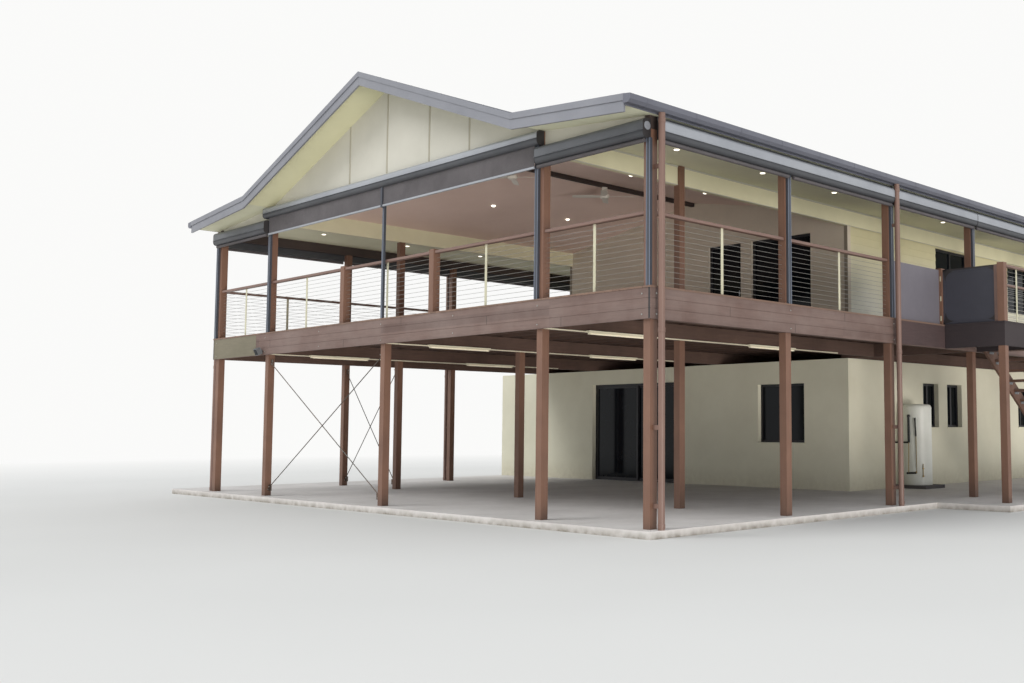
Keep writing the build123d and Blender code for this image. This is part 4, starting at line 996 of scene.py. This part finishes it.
buildAll("cornerStrips", addPair, [strip], "corner_trim", "wall_boards")
buildAll("coveLines", addPair, [((x - proud, -end, low), (x + trims["coveOut"], end, high))
                                for low, high in trims["coveZs"]],
         "gable_panel", "gable_panel", edge=0.004)

# Fascia: dark joints at the ends of boards, each with the level of its board; dark strips at the front
# corners, which are painted shade; and two odd boards, a paler one at the left end and one behind the side
# screen, which is painted shade
fascia = {"zs": (2.803, 2.935, 3.07, 3.203), "gap": 0.006, "proud": 0.0012, "short": 0.003,
          "front": ((-3.9, 1), (-1.2, 0), (0.6, 2), (2.9, 1), (4.6, 0)),
          "side": ((-7.1, 1), (-5.6, 0), (-4.3, 2), (-2.6, 1), (-1.4, 0), (1.7, 1), (4.2, 2), (6.4, 0)),
          "postXs": (-6.345, 6.315), "postWide": 0.03, "postProud": 0.001, "boardZ": (2.806, 3.2),
          "endX": (-6.312, -4.47), "endProud": 0.002, "darkY": (-2.795, -1.13), "darkProud": 0.0025}
gap, proud, short = fascia["gap"], fascia["proud"], fascia["short"]
shape = bmesh.new()
for x, level in fascia["front"]:
    for y in (-house["fasciaY"], house["fasciaY"]):
        addBlock(shape, (x, y - proud, fascia["zs"][level] + short),
                 (x + gap, y + proud, fascia["zs"][level + 1] - short))
for y, level in fascia["side"]:
    addPair(shape, (house["fasciaX"] - proud, y, fascia["zs"][level] + short),
            (house["fasciaX"] + proud, y + gap, fascia["zs"][level + 1] - short))
# Dark strips at the two front corners: painted shade, where the downpipes shade the ends of the fascia
y, proud = -house["fasciaY"], fascia["postProud"]
for x in fascia["postXs"]:
    addBlock(shape, (x, y - proud, fascia["zs"][0]), (x + fascia["postWide"], y + proud, fascia["zs"][-1]))
build("fasciaJoints", shape, "screen_rim", "black_frame")
x = house["fasciaX"]
(x0, x1), (y0, y1), (low, high) = fascia["endX"], fascia["darkY"], fascia["boardZ"]
buildAll("fasciaEnd", addBlock, [((x0, y - fascia["endProud"], low), (x1, y, high))],
         "end_board", "fascia_boards")
# The board behind the side screen is painted dark, as painted shade from the screen
buildAll("fasciaDark", addBlock, [((x, y0, low), (x + fascia["darkProud"], y1, high))],
         "dark_board", "fascia_boards")

# Landing screen: rounded dark rim, its edge strip and the marks on the near post
screen = {"x0": 6.3075, "x1": 7.3875, "low": 3.238, "high": 4.23, "corner": 0.16, "rim": 0.05, "steps": 6,
          "front": 0.019, "back": 0.009, "topStrip": (0.03, 0.0005), "edgeX": (7.31, 7.386),
          "edgeY": (0.024, 0.018),
          "markZs": (3.3, 3.66, 4.02), "markLow": (6.275, -1.1605), "markHigh": (6.3, -1.157),
          "markTall": 0.09}
y = house["landingY"]
front, back = y - screen["front"], y - screen["back"]
shape = bmesh.new()
for cx, cz, ax, az in ((screen["x0"], screen["low"], 1, 1), (screen["x1"], screen["low"], -1, 1),
                       (screen["x1"], screen["high"], -1, -1), (screen["x0"], screen["high"], 1, -1)):
    reach = screen["rim"] + screen["corner"]
    outline = [(0, 0)]
    for k in range(screen["steps"] + 1):
        turn = math.pi / 2 * k / screen["steps"]
        outline.append((ax * (reach - screen["corner"] * math.sin(turn)),
                        az * (reach - screen["corner"] * math.cos(turn))))
    addRun(shape, outline, (cx, front, cz), (cx, back, cz), (1, 0, 0))
low, high = (screen["high"] - down for down in screen["topStrip"])
addBlock(shape, (screen["x0"], front, low), (screen["x1"], back, high))
build("screenCorners", shape, "screen_rim", "screen_dark")
(x0, x1), (y0, y1) = screen["edgeX"], screen["edgeY"]
buildAll("screenEdge", addBlock, [((x0, y - y0, screen["low"]), (x1, y - y1, screen["high"]))],
         "handrail", "handrail")
buildAll("screenMarks", addBlock, [((*screen["markLow"], z), (*screen["markHigh"], z + screen["markTall"]))
                                   for z in screen["markZs"]], "stanchion_paint", "handrail")

# Stair: angle brackets under the treads, bolted to the strings
stair = {"risers": 17, "going": 0.255, "x0": 6.4355, "x1": 7.4675, "tread": 0.045,
         "leg": 0.045, "thick": 0.006, "from": 0.21, "to": 0.04, "boltYs": (0.17, 0.08), "boltZ": 0.025}
rise = (house["deckZ"] - house["floorZ"]) / stair["risers"]
shape = bmesh.new()
bolts = []
for i in range(1, stair["risers"]):
    y, z = house["halfPost"] + stair["going"] * i, house["deckZ"] - rise * i - stair["tread"]
    for x, way in ((stair["x0"], 1), (stair["x1"], -1)):
        for across, down in ((stair["thick"], stair["leg"]), (stair["leg"], stair["thick"])):
            a, b = sorted((x, x + way * across))
            addBlock(shape, (a, y - stair["from"], z - down), (b, y - stair["to"], z))
        bolts += [((x + way * stair["thick"], y - off, z - stair["boltZ"]), (way, 0, 0), "bracket")
                  for off in stair["boltYs"]]
build("treadBrackets", shape, "lamp_case", "rod_steel")

# Bolt heads, as (radius, height): at the brackets, through the fascia and in the brace plates
heads = {"bracket": (0.009, 0.008), "fascia": (0.012, 0.007), "brace": (0.01, 0.016),
         "fasciaZs": (2.86, 3.13), "frontXs": (-6.2, -4.09, -2.05, 0.0, 2.05, 4.09, 6.2),
         "plates": ((-3.9725, 0), (-0.1175, 0), (-6.1275, 1), (-4.2075, 1)), "plateZs": (0.25, 2.65),
         "plateOff": 0.025, "plateY": 0.024}
for z in heads["fasciaZs"]:
    bolts += [((house["fasciaX"] * way, y, z), (way, 0, 0), "fascia") for y in rows for way in (-1, 1)]
    bolts += [((x, -house["fasciaY"], z), (0, -1, 0), "fascia") for x in heads["frontXs"]]
for x, row in heads["plates"]:
    bolts += [((x + off, rows[row] - heads["plateY"], z + off), (0, 1, 0), "brace")
              for z in heads["plateZs"] for off in (-heads["plateOff"], heads["plateOff"])]


def addBolt(shape, place, way, kind):
    radius, high = heads[kind]
    addTube(shape, [place, Vector(place) + Vector(way) * high], radius, sides=6)


buildAll("boltHeads", addBolt, bolts, "wire_steel", "rod_steel")

# Pipe sockets, then gutter ends and straps, and the strip behind the gutters
sockets = {"x": 6.45, "rows": (0, 2, 6), "zs": (0.12, 2.62, 5.36), "pipe": 0.0455, "radius": 0.05,
           "high": 0.06, "slope": 0.004}
pipe, radius, high, slope = (sockets[key] for key in ("pipe", "radius", "high", "slope"))
profile = [(pipe, 0.0), (radius, slope), (radius, high - slope), (pipe, high)]
buildAll("pipeSockets", addTurned, [(profile, (sockets["x"] * side, rows[row], z), 28) for side in (-1, 1)
                                    for row in sockets["rows"] for z in sockets["zs"]],
         "pipe_paint", "pipe_paint")
gutter = {"endYs": ((-9.2155, -9.2), (9.2, 9.2155)), "straps": 20, "firstStrap": -8.9, "strapPitch": 0.937,
          "strapWide": 0.025, "stripLow": (6.3851, -9.2, 5.474), "stripHigh": (6.3875, 9.2, 5.4929),
          "end": ((6.384, 5.6205), (6.5145, 5.603), (6.5145, 5.5327), (6.4745, 5.4928), (6.384, 5.4928)),
          "strap": ((6.386, 5.4918), (6.386, 5.4898), (6.4755, 5.4898), (6.5175, 5.532), (6.5175, 5.6015),
                    (6.5155, 5.6015), (6.5155, 5.5328), (6.4748, 5.4918))}
strapYs = [gutter["firstStrap"] + gutter["strapPitch"] * k for k in range(gutter["straps"])]
shape = bmesh.new()
for side in (-1, 1):
    for a, b in gutter["endYs"]:
        addRun(shape, gutter["end"], (0, a, 0), (0, b, 0), (side, 0, 0))
    for y in strapYs:
        addRun(shape, gutter["strap"], (0, y, 0), (0, y + gutter["strapWide"], 0), (side, 0, 0))
addPair(shape, gutter["stripLow"], gutter["stripHigh"])
build("gutterEnds", shape, "gutter_steel", "trim_steel")
print("trims done")

# Camera at the photograph's place
view = {"place": (16.119, -18.578, 1.411), "turn": (94.471, 0.06, 42.382), "lens": 38.21, "shift": -0.1764,
        "sensor": 36.0, "far": 400.0}
optics = bpy.data.cameras.new("camera")
optics.lens = view["lens"]
optics.shift_x = view["shift"]
optics.sensor_width = view["sensor"]
optics.clip_end = view["far"]
camera = link("camera", optics)
camera.location = view["place"]
camera.rotation_euler = [math.radians(v) for v in view["turn"]]
bpy.context.scene.camera = camera

# The sun, then light thrown back from the ground in front and on the right
studio = {
    "suns": (dict(energy=1.4, turn=(48.0, 0.0, -28.0), angle=32.0, colour=(1.0, 1.0, 1.0)),
             dict(energy=0.6, turn=(117.0, 0.0, 12.0), angle=40.0, colour=(1.0, 0.92, 0.86)),
             dict(energy=1.7, turn=(100.0, 0.0, 72.0), angle=24.0, colour=(1.0, 0.94, 0.89))),
    "sky": (0.92, 0.94, 0.97, 1.0), "skyStrength": 0.92, "paper": (0.96, 0.96, 0.95, 1.0),
    "floorHalf": 160.0, "floorZ": -0.001, "floorRough": 0.9, "patch": 0.2,
    "floorTones": ((0.62, 0.62, 0.60, 1), (0.68, 0.68, 0.66, 1)),
    "fadeFrom": 16.0, "fadeTo": 34.0,  # the floor turns to paper over this distance
}
for lamps in studio["suns"]:
    sun = bpy.data.lights.new("sun", "SUN")
    sun.energy = lamps["energy"]
    sun.angle = math.radians(lamps["angle"])
    sun.color = lamps["colour"]
    link("sun", sun).rotation_euler = [math.radians(v) for v in lamps["turn"]]


def seenRays(tree):
    # Rays of the camera, and those that gloss and glass send on
    path = put(tree, "ShaderNodeLightPath").outputs
    direct = maths(tree, "MAXIMUM", path["Is Camera Ray"], path["Is Glossy Ray"])
    return maths(tree, "MAXIMUM", direct, path["Is Transmission Ray"])


world = bpy.data.worlds.new("studio")
bpy.context.scene.world = world
world.use_nodes = True
tree = world.node_tree
tree.nodes.clear()
sky = put(tree, "ShaderNodeBackground", {"Color": studio["sky"], "Strength": studio["skyStrength"]})
bright = put(tree, "ShaderNodeBackground", {"Color": studio["paper"], "Strength": 1.0})
both = put(tree, "ShaderNodeMixShader", {0: seenRays(tree), 1: sky.outputs[0], 2: bright.outputs[0]})
put(tree, "ShaderNodeOutputWorld", {"Surface": both.outputs[0]})

shape = bmesh.new()
half = studio["floorHalf"]
shape.faces.new([shape.verts.new((x * half, y * half, studio["floorZ"]))
                 for x, y in ((-1, -1), (1, -1), (1, 1), (-1, 1))])
floor = fromShape("floor", shape)
ground, tree, shader, where = newMaterial("ground")
patches = put(tree, "ShaderNodeTexNoise", {"Vector": where, "Scale": studio["patch"]}).outputs["Fac"]
fill(tree, shader, {"Base Color": mixColours(tree, patches, *studio["floorTones"]),
                    "Roughness": studio["floorRough"]})
away = vectorMaths(tree, "LENGTH", where)["Value"]
seen = maths(tree, "MULTIPLY", spread(tree, away, studio["fadeFrom"], studio["fadeTo"], 0.0, 1.0),
             seenRays(tree))
paper = put(tree, "ShaderNodeEmission", {"Color": studio["paper"], "Strength": 1.0})
blend = put(tree, "ShaderNodeMixShader", {0: seen, 1: shader.outputs[0], 2: paper.outputs[0]})
tree.links.new(blend.outputs[0], tree.nodes["Material Output"].inputs["Surface"])
floor.data.materials.append(ground)
floor.visible_shadow = False

bpy.context.scene.view_settings.view_transform = "Standard"
print("scene done")
